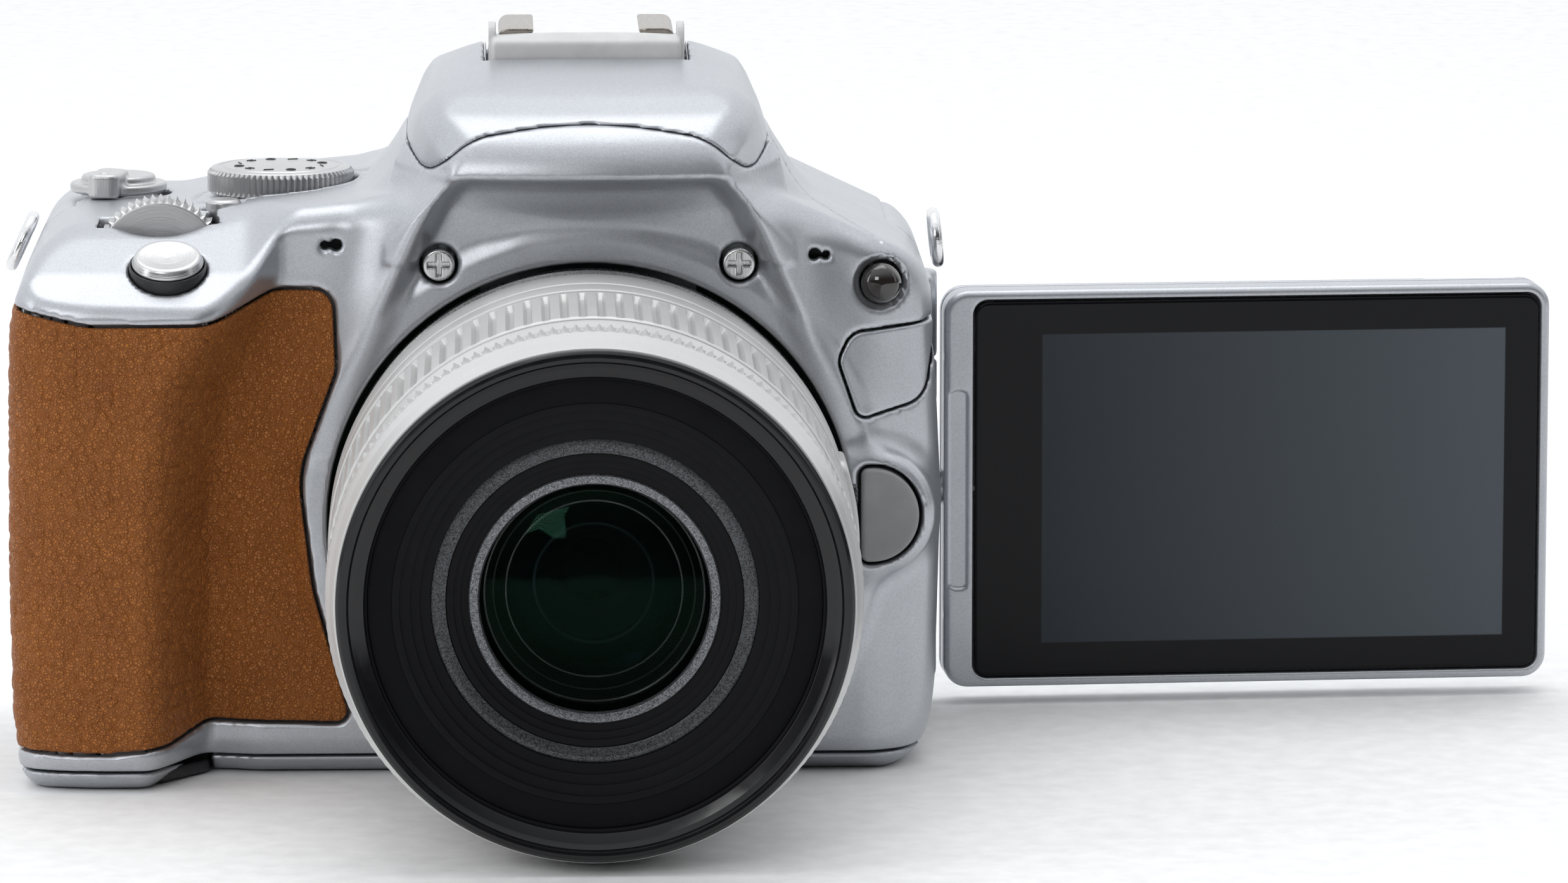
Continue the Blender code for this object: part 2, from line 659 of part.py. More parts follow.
def make_hot_shoe():
    grey = look("hot_shoe_base", (0.40, 0.40, 0.40), 0.5)
    base = solid("hot_shoe_base", block((-12.3, -20.6, 89.0), (12.3, 0.3, 91.0)), grey)
    nose = [(-20.6, 89.5), (-17.8, 89.5), (-17.8, 93.2), (-19.4, 93.4), (-20.6, 91.0)]
    front = guide("shoe_front", prism(nose, "x", -12.3, 12.3))
    combine(base, "UNION", front)
    section = [
        (-11.2, 91.3),
        (11.2, 91.3),
        (11.2, 93.8),
        (6.4, 93.8),
        (6.4, 93.1),
        (10.3, 93.1),
        (10.3, 91.9),
        (-10.3, 91.9),
        (-10.3, 93.1),
        (-6.4, 93.1),
        (-6.4, 93.8),
        (-11.2, 93.8),
    ]
    solid("hot_shoe_rails", prism(section, "y", -17.5, -0.2), steel("hot_shoe_rails"))


def make_viewfinder():
    pad = eased_block((-18.5, REAR_Y + GAP, 66.6), (18.5, 18.6, 87.4), 5.0, 3)
    cup = solid("eyecup", pad, look("eyecup", (0.03, 0.03, 0.03), 0.7))
    cut(cup, guide("eye_opening", eased_block((-11.0, 5.0, 70.6), (11.0, 30.0, 84.0), 3.0, 3)))
    solid("eyepiece_lens", eased_block((-10.8, 9.0, 70.6), (10.8, 11.5, 84.0), 2.0), glass("eyepiece_lens"))
    dioptre = rod(2.2, (21.4, 9.5, 77.0), (21.4, 15.0, 77.0), 16)
    solid("diopter_dial", dioptre, black("diopter_dial"), (21.4, 12.0, 77.0))
    faces = [(-35.5, 51.4), (-9.5, 51.4), (-6.0, 68.0), (-10.0, 78.5), (-20.0, 79.6), (-31.0, 70.0), (-35.5, 60.0)]
    solid("pentamirror", prism(faces, "x", -14.0, 14.0), look("pentamirror", (0.6, 0.62, 0.65), 0.1, 0.8))
    matte = look("focusing_screen", (0.75, 0.77, 0.8), 0.4)
    solid("focusing_screen", block((-13.5, -35.0, 48.0), (13.5, -13.0, 49.2)), matte)


def make_rear_controls():
    for name, (x, z, radius) in REAR_BUTTONS.items():
        front = 5.2 if x < -45 else 11.6
        low = 6.5 if x < -45 else 9.5
        start = (x, low, z)
        solid(name, rod(radius, start, (x, REAR_Y + 0.9, z), 20), black(name), (x, front, z))
    keys_at = (KEYS_X, REAR_Y - 1.0, KEYS_Z)
    section = [(4.3, 0), (KEYS_RADIUS, 0), (KEYS_RADIUS, 1.6), (8.4, 2.2), (4.3, 1.9)]
    solid("cross_keys", turned(section, (0, 1, 0), keys_at, 32), black("cross_keys"), keys_at)
    set_at = (KEYS_X, 9.0, KEYS_Z)
    solid("set_button", rod(3.7, set_at, (KEYS_X, REAR_Y + 1.0, KEYS_Z), 20), black("set_button"), set_at)


def make_inside():
    box = solid("mirror_box", block((-20.0, -37.5, 17.5), (20.0, -8.6, 47.7)), black("mirror_box"))
    cut(box, guide("mirror_well", block((-17.4, -60, 20.0), (17.4, 10, 60))))
    mirror_at = (0, -13.0, 45.0)
    plate = block((-15.5, -40.5, 44.4), (15.5, -13.0, 45.6))
    bmesh.ops.rotate(plate, verts=plate.verts, cent=mirror_at, matrix=Matrix.Rotation(math.radians(45), 3, "X"))
    solid("mirror", plate, look("mirror", (0.85, 0.86, 0.88), 0.03, 1.0), mirror_at)
    gate = solid("shutter_unit", block((-25.0, -8.2, 14.0), (25.0, -3.6, 52.0)), black("shutter_unit"))
    cut(gate, guide("gate_window", block((-12.4, -20.0, AXIS_Z - 8.6), (12.4, -5.0, AXIS_Z + 8.6))))
    sensor = block((-16.0, 0.0, AXIS_Z - 12.5), (16.0, 1.9, AXIS_Z + 12.5))
    solid("sensor", sensor, look("sensor", (0.10, 0.20, 0.22), 0.1))
    lacquer = look("main_board", (0.02, 0.16, 0.07), 0.5)
    solid("main_board", block((-38.0, 2.4, 9.0), (36.0, 3.9, 62.0)), lacquer)
    solid("battery", eased_block((-70.5, -45.0, 2.6), (-56.0, -12.0, 48.0), 1.5, along="z"), black("battery"))
    card = block((-53.6, -38.0, 2.8), (-51.4, -14.0, 35.0))
    solid("memory_card", card, look("memory_card", (0.03, 0.06, 0.2), 0.4))
    door = eased_block((BATTERY_PIVOT[0], -45.5, BATTERY_PIVOT[2]), (-49.5, -10.0, 1.9), 1.5, along="z")
    solid("battery_door", door, black("battery_door"), BATTERY_PIVOT)


def make_screen():
    """Panel built flat beside its hinge, then turned with the hinge by the yaw of the open screen."""
    pivot = Vector((HINGE_X, HINGE_Y, SCREEN_MID_Z))
    low = pivot + Vector((SCREEN_START, -SCREEN_THICK / 2, -SCREEN_HEIGHT / 2))
    high = pivot + Vector((SCREEN_START + SCREEN_WIDTH, SCREEN_THICK / 2, SCREEN_HEIGHT / 2))
    split = HINGE_Y + 1.4
    side = Vector((1, 0, 0))
    up = Vector((0, 0, 1))
    barrel = rod(2.9, pivot - up * 17.5, pivot + up * 17.5, 20)
    hinge = solid("lcd_hinge_block", barrel, silver("lcd_hinge_block"), pivot)
    stub = guide("hinge_stub", rod(2.0, pivot, pivot + side * 8.6, 20))
    pins = guide("hinge_pins", rod(1.0, pivot - up * 21.5, pivot + up * 21.5, 12))
    combine(hinge, "UNION", stub, pins)

    front_half = eased_block(low, (high.x, split, high.z), 5.0, 4)
    frame = solid("lcd_frame", front_half, silver("lcd_frame"), pivot)
    glass_low = low + Vector((3.6, 0.1, 1.5))
    glass_high = Vector((high.x - 1.6, low.y + 1.1, high.z - 1.5))
    glass_room = eased_block(glass_low - Vector((GAP, 2, GAP)), glass_high + Vector((GAP, GAP, GAP)), 4.0, 4)
    display_room = block(low + Vector((9.6, 0.8, 4)), (high.x - 4, split + 9, high.z - 4))
    rooms = [guide("glass_room", glass_room), guide("display_room", display_room)]
    stub_room = hole("stub_room", 2.3, pivot + side * 2, pivot + side * 9.4, 20)
    cut(frame, *rooms, stub_room)
    pane = solid("lcd_glass", eased_block(glass_low, glass_high, 4.0, 4), glass("lcd_glass"), pivot)
    rear_half = eased_block((low.x, split + GAP, low.z), high, 5.0, 4)
    shell = solid("lcd_back", rear_half, silver("lcd_back"), pivot)
    cut(shell, stub_room)

    turn = bpy.data.objects.new("screen_hinge", None)
    bpy.context.collection.objects.link(turn)
    turn.location = pivot * MM
    turn.rotation_euler = (0, 0, math.radians(SCREEN_YAW))
    for item in (hinge, stub, pins, frame, pane, shell, stub_room, *rooms):
        item.location -= turn.location
        item.parent = turn


def make_lens():
    bayonet = [(22.0, 38.2), (24.2, 38.2), (24.2, 44.3), (31.6, 44.3), (31.6, 46.0), (22.0, 46.0)]
    solid("lens_bayonet", lens_turned(bayonet), steel("lens_bayonet"))
    barrel = [
        (26.8, 46.3),
        (31.2, 46.3),
        (32.8, 48.0),
        (LENS_RADIUS, 50.0),
        (LENS_RADIUS, ZOOM_BACK - GAP),
        (30.2, ZOOM_BACK - GAP),
        (30.2, ZOOM_FRONT - 3.0),
        (28.7, ZOOM_FRONT - 3.0),
        (28.7, 49.0),
        (26.8, 49.0),
    ]
    rear = solid("lens_barrel", lens_turned(barrel), ivory("lens_barrel"))
    ring = [
        (30.6, ZOOM_BACK),
        (LENS_RADIUS, ZOOM_BACK),
        (LENS_RADIUS, ZOOM_FRONT),
        (29.4, ZOOM_FRONT),
        (29.4, ZOOM_FRONT - 2.6),
        (30.6, ZOOM_FRONT - 2.6),
    ]
    solid("zoom_ring", lens_turned(ring), ivory("zoom_ring"), (0, -75, AXIS_Z))
    front = [(26.4, 52.0), (28.3, 52.0), (28.3, 100.2), (26.4, 100.2)]
    solid("front_barrel", lens_turned(front), ivory("front_barrel"), (0, -75, AXIS_Z))
    back = ZOOM_FRONT + GAP
    focus = [
        (28.7, back),
        (LENS_RADIUS, back),
        (LENS_RADIUS, FOCUS_LIP),
        (32.0, FOCUS_FRONT),
        (30.9, FOCUS_FRONT),
        (30.9, FOCUS_LIP - 2.0),
        (28.7, FOCUS_LIP - 2.0),
    ]
    solid("focus_ring", lens_turned(focus), ivory("focus_ring"), (0, -92, AXIS_Z))
    rim = [
        (28.7, FOCUS_LIP - 1.6),
        (30.6, FOCUS_LIP - 1.6),
        (30.6, FOCUS_FRONT + GAP),
        (31.8, FOCUS_FRONT + GAP),
        (31.8, LENS_FRONT - 0.6),
        (31.2, LENS_FRONT),
        (29.4, LENS_FRONT),
        (28.6, 104.6),
        (24.0, 103.4),
        (20.6, 101.6),
        (15.8, 99.4),
        (15.8, 98.6),
        (26.0, 100.5),
        (28.7, 101.0),
    ]
    solid("front_rim", lens_turned(rim), black("front_rim"))
    element = [(0, 95.0), (15.4, 95.0), (15.4, 98.2), (12.0, 99.9), (8.0, 101.2), (4.0, 101.9), (0, 102.1)]
    solid("front_element", lens_turned(element), glass("front_element"))
    plate = [(4.2, 80.0), (26.1, 80.0), (26.1, 81.2), (4.2, 81.2)]
    solid("iris", lens_turned(plate), black("iris"))
    cell = [(0, 53.5), (12.0, 54.0), (26.1, 54.0), (26.1, 57.0), (12.0, 57.0), (0, 58.6)]
    solid("rear_lens", lens_turned(cell), glass("rear_lens"))
    for name, z in (("focus_mode_switch", AXIS_Z + 4.6), ("stabilizer_switch", AXIS_Z - 4.6)):
        low = (LENS_RADIUS - 1.4, -59.4, z + 0.3)
        knob = eased_block(low, (LENS_RADIUS + 0.7, -56.6, z + 2.7), 0.5, along="x")
        solid(name, knob, black(name), (LENS_RADIUS, -58.0, z + 1.5))
        slot = block((LENS_RADIUS - 2.0, -60.0, z - 3.0), (LENS_RADIUS + 3, -56.0, z + 3.0))
        cut(rear, guide(name + "_slot", slot))


def main():
    for item in list(bpy.data.objects):
        bpy.data.objects.remove(item, do_unlink=True)
    inner = body_volume("body_inside", WALL)
    make_front_cover(inner)
    make_rear_cover(inner)
    make_top_cover(inner)
    make_bottom_cover()
    make_skins()
    make_front_trim()
    make_strap_lugs()
    make_top_controls()
    make_flash()
    make_hot_shoe()
    make_viewfinder()
    make_rear_controls()
    make_inside()
    make_screen()
    make_lens()


main()
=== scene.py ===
"""Looks of a single-lens reflex camera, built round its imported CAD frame.

The covers are modelled as distance fields on a grid (outlines, a depth map and rounded unions) and meshed
here; rings, dials and trim are turned or swept. Lengths are in millimetres in the frame's axes:
+X towards the screen's hinge side, the lens towards -Y, +Z up, the origin on the base in the sensor's plane.
"""

import math

import bpy
import numpy as np
from mathutils import Matrix, Vector


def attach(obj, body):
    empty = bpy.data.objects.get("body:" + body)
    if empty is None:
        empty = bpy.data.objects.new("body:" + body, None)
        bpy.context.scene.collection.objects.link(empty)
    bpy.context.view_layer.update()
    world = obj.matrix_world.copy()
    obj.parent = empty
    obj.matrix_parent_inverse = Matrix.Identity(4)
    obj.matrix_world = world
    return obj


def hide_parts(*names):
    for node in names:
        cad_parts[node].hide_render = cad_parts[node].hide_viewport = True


MM = 0.001
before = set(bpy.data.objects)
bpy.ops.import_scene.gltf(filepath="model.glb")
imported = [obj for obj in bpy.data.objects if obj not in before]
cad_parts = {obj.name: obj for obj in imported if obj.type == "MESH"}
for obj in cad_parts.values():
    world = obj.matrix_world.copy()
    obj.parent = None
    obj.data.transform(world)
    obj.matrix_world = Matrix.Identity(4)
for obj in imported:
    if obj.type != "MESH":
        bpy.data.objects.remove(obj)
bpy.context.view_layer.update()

# Body, as in the CAD part
AXIS_Z = 33.6
PANEL_Y = -40.8
GRIP_Y = -52.4
REAR_Y = 13.6
TOP_Z = 71.6
WALL = 2.0
SKIN = 1.2
GAP = 0.16
BASE_SEAM_Z = 2.7
TOP_SEAM_Z = 68.4
SIDE_SEAM_Y = -12.0
FAR = 90.0

# Screen
HINGE = (44.5, 10.0, 29.5)
SCREEN_YAW = 4.0
SCREEN_WIDTH = 82.5
SCREEN_HEIGHT = 54.2
SCREEN_THICK = 7.2
SCREEN_START = 3.6

# Controls
SHUTTER_AT = (-54.0, -44.6, 67.6)
SHUTTER_AXIS = (0.0, -0.36, 0.93)
MODE_AT = (-40.2, -12.0, 75.0)
MAIN_AT = (-55.4, -30.1, 66.2)
MODE_FLOOR = 72.7
POWER_AT = (-62.0, -1.0, 72.0)
ISO_AT = (-47.4, -24.0, 73.0)
RELEASE_AT = (36.4, -36.0, 34.7)
SCREW_X = 19.3
SCREW_Z = 67.4
LAMP_AT = (37.7, -41.0, 64.4)
# rear buttons: x, z, radius
REAR_BUTTONS = {
    "menu_button": (36.0, 62.6, 2.6),
    "info_button": (26.5, 62.6, 2.6),
    "live_view_button": (-27.5, 62.8, 3.0),
    "ae_lock_button": (-61.5, 60.2, 2.4),
    "exposure_button": (-50.0, 51.0, 2.6),
    "playback_button": (-51.0, 16.5, 2.6),
}
KEYS_AT = (-57.6, 12.6, 33.5)
KEYS_RADIUS = 9.2
# microphone holes: x, z, radius
MIC_HOLES = [(-34.0, 69.6, 0.6), (-32.5, 69.7, 0.8), (29.0, 68.4, 0.8), (30.5, 68.2, 0.6)]
FLASH_PIVOT = (0.0, 0.0, 86.0)
SHOE_CLEARANCE = 22.3
SHOE_HALF = 13.35


def mirrored(*corners):
    """Outline symmetric about its vertical axis, from the corners of its right half."""
    return [*corners, *((-u, v, radius) for u, v, radius in reversed(corners))]


# Outlines: corners (across, up, corner radius), counter-clockwise
SIDES_OUTLINE = [
    (-75.4, 0.0, 4.0), (45.2, 0.0, 7.0), (46.9, 36.0, 60.0), (44.4, 66.6, 9.0), (24.0, 76.2, 14.0),
    (-24.0, 76.6, 4.0), (-30.5, 75.0, 6.0), (-42.0, 73.9, 10.0), (-53.5, TOP_Z, 10.0),
    (-69.6, TOP_Z, 8.0), (-75.4, 60.5, 14.0), (-76.0, 30.0, 60.0),
]
PLAN_OUTLINE = [
    (46.9, REAR_Y, 5.0), (-73.4, REAR_Y, 6.0), (-76.0, -15.0, 40.0), (-75.6, -52.4, 9.0),
    (-40.0, -56.0, 0.5), (39.0, -56.0, 0.5), (39.8, -41.0, 6.0), (46.9, -33.0, 8.0),
]
HUMP_SIDE = [
    (-38.0, 66.0, 0.0), (12.0, 66.0, 0.0), (REAR_Y, 76.0, 4.0), (11.0, 84.0, 5.0), (1.0, 90.4, 4.0),
    (-9.5, 93.5, 6.0), (-24.0, 91.3, 20.0), (-38.0, 89.3, 26.0), (-46.6, 86.2, 14.0),
    (-51.0, 82.4, 8.0), (-51.4, 79.2, 0.7), (-46.0, 78.2, 3.5), (-43.0, 73.0, 8.0), (-42.0, 67.0, 0.0),
]
HUMP_FRONT = mirrored(
    (27.0, 60.0, 0.0), (24.9, 78.0, 8.0), (22.9, 84.0, 12.0), (20.0, 90.0, 3.0), (12.4, 94.4, 2.0)
)
HUMP_PLAN = mirrored((14.6, -57.0, 0.0), (23.8, -34.4, 8.0), (28.5, -14.0, 20.0), (20.5, REAR_Y, 5.0))
GRIP_SLOPE = [
    (-24.0, 76.0, 0.0), (-24.0, FAR, 0.0), (-70.0, FAR, 0.0), (-70.0, 52.0, 0.0), (-54.0, 61.0, 6.0),
    (-46.0, 66.6, 10.0),
]
LEATHER_OUTLINE = [
    (-FAR, 5.6, 0.0), (-62.0, 5.2, 6.0), (-54.0, 6.0, 6.0), (-49.6, 7.6, 4.0), (-31.0, 7.2, 1.5),
    (-35.8, 25.0, 14.0), (-37.6, 40.0, 14.0), (-32.6, 53.6, 5.0), (-33.0, 63.9, 2.6),
    (-40.4, 63.9, 5.0), (-48.5, 60.7, 12.0), (-64.0, 60.6, 14.0), (-FAR, 66.0, 0.0),
]
DOOR_OUTLINE = [
    (34.8, 47.0, 1.6), (43.4, 48.9, 3.5), (45.2, 58.8, 0.8), (33.9, 58.0, 2.6), (32.2, 54.6, 2.2),
]
DOOR_MOUTH = [
    (-71.0, -45.5, 1.5), (-55.5, -45.5, 1.5), (-49.5, -37.5, 2.5), (-49.5, -10.0, 1.5),
    (-71.0, -10.0, 1.5),
]
FLASH_SEAM = [
    (-30.0, 82.5, 0.0), (-23.8, 82.2, 1.0), (-20.8, 79.2, 1.6), (-14.9, 84.2, 9.0), (0.0, 86.6, 60.0),
    (14.9, 84.2, 9.0), (20.8, 79.2, 1.6), (23.8, 82.2, 1.0), (30.0, 82.5, 0.0), (30.0, 110.0, 0.0),
    (-30.0, 110.0, 0.0),
]


# ---------------------------------------------------------------- distance fields


class Grid:
    """Regular grid of points between two corners, as arrays that broadcast over each other."""

    def __init__(self, low, high, step):
        self.low = np.array(low, dtype=np.float64)
        self.step = step
        axes = [np.arange(a, b + step, step, dtype=np.float32) for a, b in zip(low, high)]
        self.x = axes[0][:, None, None]
        self.y = axes[1][None, :, None]
        self.z = axes[2][None, None, :]
        self.shape = tuple(len(axis) for axis in axes)


def arcs(corners, per_arc=8):
    """Outline points with each corner (u, v, radius) replaced by an arc of that radius."""
    outline = []
    for index, (u, v, radius) in enumerate(corners):
        corner = Vector((u, v))
        back = (Vector(corners[index - 1][:2]) - corner).normalized()
        ahead = (Vector(corners[(index + 1) % len(corners)][:2]) - corner).normalized()
        half = back.angle(ahead) / 2
        if radius < 0.01 or half > math.radians(89.5):
            outline.append(corner)
            continue
        centre = corner + (back + ahead).normalized() * radius / math.sin(half)
        start = (corner + back * radius / math.tan(half) - centre).normalized()
        end = (corner + ahead * radius / math.tan(half) - centre).normalized()
        for step in range(per_arc + 1):
            outline.append(centre + start.slerp(end, step / per_arc) * radius)
    return [tuple(point) for point in outline]


def outline_field(u, v, corners):
    """Signed distance to a closed outline in the plane of two broadcastable arrays, negative inside."""
    points = arcs(corners)
    shape = np.broadcast_shapes(u.shape, v.shape)
    nearest = np.full(shape, 1e12, dtype=np.float32)
    inside = np.zeros(shape, dtype=bool)
    for index, (bu, bv) in enumerate(points):
        au, av = points[index - 1]
        du = bu - au
        dv = bv - av
        length = du * du + dv * dv
        if length < 1e-12:
            continue
        along = np.clip(((u - au) * du + (v - av) * dv) / length, 0.0, 1.0)
        nearest = np.minimum(nearest, (u - au - along * du) ** 2 + (v - av - along * dv) ** 2)
        if abs(dv) > 1e-9:
            crosses = (v < av) != (v < bv)
            inside ^= crosses & (u < au + (v - av) * du / dv)
    distance = np.sqrt(nearest)
    return np.where(inside, -distance, distance).astype(np.float32)


def meet(a, b, radius=0.0):
    """Intersection of two fields with a rounded edge."""
    outer = np.sqrt(np.maximum(a + radius, 0) ** 2 + np.maximum(b + radius, 0) ** 2)
    return np.minimum(np.maximum(a, b), -radius) + outer


def join(a, b, radius=0.0):
    """Union of two fields with a filleted valley."""
    inner = np.sqrt(np.maximum(radius - a, 0) ** 2 + np.maximum(radius - b, 0) ** 2)
    return np.maximum(np.minimum(a, b), radius) - inner


def cut(a, b, radius=0.0):
    return meet(a, -b, radius)


def both(*fields):
    """Plain intersection."""
    result = fields[0]
    for field in fields[1:]:
        result = np.maximum(result, field)
    return result


def span(u, v):
    """Distance from the origin of two broadcastable arrays."""
    return np.sqrt(u**2 + v**2)


def box_field(g, low, high, radius=0.0):
    """Rounded box between two corners."""
    parts = []
    for axis, a, b in zip((g.x, g.y, g.z), low, high):
        parts.append(np.abs(axis - (a + b) / 2) - (b - a) / 2 + radius)
    outside = np.sqrt(sum(np.maximum(part, 0) ** 2 for part in parts))
    inside = np.minimum(np.maximum(np.maximum(parts[0], parts[1]), parts[2]), 0)
    return outside + inside - radius


def rod_field(g, start, end, radius, round_end=0.0):
    """Solid cylinder between two points."""
    start = Vector(start)
    axis = Vector(end) - start
    length = axis.length
    axis.normalize()
    px = g.x - start.x
    py = g.y - start.y
    pz = g.z - start.z
    along = px * axis.x + py * axis.y + pz * axis.z
    away = np.sqrt(np.maximum(px * px + py * py + pz * pz - along * along, 0))
    return meet(away - radius, np.abs(along - length / 2) - length / 2, round_end)


def surface_nets(field, low, step):
    """Quad mesh of a field's zero surface: a vertex in each crossed cell, a quad for each crossed edge."""
    sign = field < 0
    cells = np.array(field.shape) - 1
    strides = np.array((cells[1] * cells[2], cells[2], 1))
    owners = []
    corners = []
    edges = []
    for axis in range(3):
        first = tuple(slice(0, -1) if a == axis else slice(None) for a in range(3))
        second = tuple(slice(1, None) if a == axis else slice(None) for a in range(3))
        where = np.argwhere(sign[first] != sign[second])
        starts_inside = sign[first][tuple(where.T)]
        va = field[first][tuple(where.T)]
        vb = field[second][tuple(where.T)]
        point = where.astype(np.float64)
        point[:, axis] += va / (va - vb)
        u, v = [(1, 2), (2, 0), (0, 1)][axis]
        ring = []
        for du, dv in ((0, 0), (1, 0), (1, 1), (0, 1)):
            ring.append(where @ strides - du * strides[u] - dv * strides[v])
            owners.append(ring[-1])
            corners.append(point)
        ring = np.stack(ring, axis=1)
        ring[~starts_inside] = ring[~starts_inside][:, ::-1]
        edges.append(ring)
    used, slot = np.unique(np.concatenate(owners), return_inverse=True)
    corners = np.concatenate(corners)
    count = np.bincount(slot)
    points = np.stack([np.bincount(slot, weights=corners[:, a]) / count for a in range(3)], axis=1)
    quads = np.searchsorted(used, np.concatenate(edges))
    return points * step + low, quads


def mesh_of(name, points, faces, material, place=None, sharp=None):
    """Object from arrays of points in millimetres and faces of equal size, in a frame of its own."""
    data = bpy.data.meshes.new(name)
    faces = np.asarray(faces, dtype=np.int32)
    size = faces.shape[1]
    data.vertices.add(len(points))
    data.vertices.foreach_set("co", (np.asarray(points, dtype=np.float32) * MM).ravel())
    data.loops.add(faces.size)
    data.loops.foreach_set("vertex_index", faces.ravel())
    data.polygons.add(len(faces))
    data.polygons.foreach_set("loop_start", np.arange(0, faces.size, size, dtype=np.int32))
    data.update(calc_edges=True)
    data.validate()
    data.shade_smooth()
    if sharp:
        data.set_sharp_from_angle(angle=math.radians(sharp))
    data.materials.append(material)
    item = bpy.data.objects.new(name, data)
    bpy.context.collection.objects.link(item)
    if place is not None:
        frame_of = place.copy()
        frame_of.translation = place.translation * MM
        item.matrix_world = frame_of
    return item


def shell_of(name, grid, field, material, place=None):
    """Object meshed from a field, with the grid's outermost layer kept empty so that it closes."""
    field = np.array(np.broadcast_to(field, grid.shape), dtype=np.float32)
    for axis in range(3):
        edge = [slice(None)] * 3
        for end in (0, -1):
            edge[axis] = end
            field[tuple(edge)] = np.maximum(field[tuple(edge)], grid.step)
    points, quads = surface_nets(field, grid.low, grid.step)
    return mesh_of(name, points, quads, material, place)


def turned(name, profile, material, place, segments=180, shape=None, per_arc=4, sharp=34):
    """Closed profile of (radius, height, corner radius) turned round the local Z of a frame."""
    outline = np.array(arcs(profile, per_arc))
    if shape is not None:
        dense = []
        for a, b in zip(outline, np.roll(outline, -1, axis=0)):
            parts = max(1, int(np.linalg.norm(b - a) / 0.5))
            dense.extend(a + (b - a) * step / parts for step in range(parts))
        outline = np.array(dense)
    u, v = outline[:, 0], outline[:, 1]
    if np.sum(u * np.roll(v, -1) - v * np.roll(u, -1)) < 0:
        outline = outline[::-1]
    angles = np.linspace(0, 2 * math.pi, segments, endpoint=False)
    radius = np.maximum(outline[:, 0], 0.004)[:, None] + 0 * angles[None, :]
    height = outline[:, 1][:, None] + 0 * angles[None, :]
    if shape is not None:
        radius = shape(radius, height, angles[None, :])
    points = np.stack([radius * np.cos(angles), radius * np.sin(angles), height], axis=-1).reshape(-1, 3)
    count = len(outline)
    i = np.arange(count)[:, None]
    j = np.arange(segments)[None, :]
    i2 = (i + 1) % count
    j2 = (j + 1) % segments
    faces = np.stack([i * segments + j, i * segments + j2, i2 * segments + j2, i2 * segments + j], axis=-1)
    return mesh_of(name, points, faces.reshape(-1, 4), material, place, sharp)


def wire(name, points, radius, material, sides=16):
    """Round wire swept through a closed loop of points."""
    count = len(points)
    rings = []
    for index in range(count):
        here = Vector(points[index])
        tangent = (Vector(points[(index + 1) % count]) - Vector(points[index - 1])).normalized()
        side = Vector((1, 0, 0)).cross(tangent).normalized()
        up = tangent.cross(side)
        for step in range(sides):
            angle = 2 * math.pi * step / sides
            rings.append(here + side * radius * math.cos(angle) + up * radius * math.sin(angle))
    i = np.arange(count)[:, None]
    j = np.arange(sides)[None, :]
    i2 = (i + 1) % count
    j2 = (j + 1) % sides
    faces = np.stack([i * sides + j, i * sides + j2, i2 * sides + j2, i2 * sides + j], axis=-1)
    return mesh_of(name, np.array(rings), faces.reshape(-1, 4), material)


def facing(at, axis, turn=0.0):
    """Frame at a point in millimetres with its local Z along an axis."""
    rotation = Vector(axis).normalized().to_track_quat("Z", "Y").to_matrix().to_4x4()
    return Matrix.Translation(Vector(at)) @ rotation @ Matrix.Rotation(turn, 4, "Z")


def blurred(values, width):
    """Depth map softened with a Gaussian of a width in cells."""
    reach = int(width * 3) + 1
    kernel = np.exp(-0.5 * (np.arange(-reach, reach + 1) / width) ** 2)
    kernel /= kernel.sum()
    for axis in (0, 1):
        padded = np.pad(values, [(reach, reach) if a == axis else (0, 0) for a in (0, 1)], mode="edge")
        values = sum(
            weight * np.take(padded, range(shift, shift + values.shape[axis]), axis=axis)
            for shift, weight in enumerate(kernel)
        )
    return values


def ease(value, start, end):
    """0 before start, 1 after end, smooth between."""
    t = np.clip((value - start) / (end - start), 0.0, 1.0)
    return t * t * (3 - 2 * t)


# ---------------------------------------------------------------- body form


def front_depth(x, z):
    """Y of the body's front at (x, z): side panels, the grip's bulge and valley, the hood over the lens."""
    side = np.abs(x)
    # hood: ridges that run from the overhang down to the lens mount, with a concave arch between them
    heights = [44, 50, 57, 66.5, 72, 74.7, 77, 79, 84]
    reach = np.interp(z, heights, [34.0, 32.4, 29.3, 25.2, 22.8, 21.4, 19.6, 17.6, 15.0])
    ridge = np.interp(z, heights, [-42.2, -42.8, -43.8, -45.6, -47.0, -47.8, -48.6, -49.2, -49.2])
    arch = np.interp(z, [55, 62, 68, 72, 76, 80, 84], [-42.2, -42.0, -42.1, -42.2, -42.4, -42.6, -42.6])
    outwards = side - reach
    flank = np.clip(outwards / 9.5, 0.0, 1.0)
    outer = PANEL_Y + (ridge - PANEL_Y) * (1 - flank) ** 1.8
    inner = arch + (ridge - arch) * ease(outwards, -3.6, -0.3)
    hood = np.where(outwards > 0, outer, inner)
    depth = np.where(z > 42, np.minimum(hood, PANEL_Y), PANEL_Y)
    # grip: a round bulge with a valley beside it
    crease = np.interp(z, [0, 38, 52, 60, 66], [-49.4, -48.8, -46.0, -41.6, -39.6])
    spread = np.interp(z, [0, 38, 56, 66], [8.5, 9.0, 10.0, 9.0])
    bulge = np.sin(np.clip((crease - x) / spread, 0.0, 1.0) * math.pi / 2) ** 1.3
    crown = 2.0 * ease(-x, 63.0, 76.0)
    valley = PANEL_Y + np.interp(z, [0, 50, 62], [1.3, 1.3, 0.4])
    grip = valley + (GRIP_Y + crown - valley) * bulge
    floor = valley + (depth - valley) * ease(x - crease, 0.0, 7.0)
    return np.where(x < crease, grip, floor)


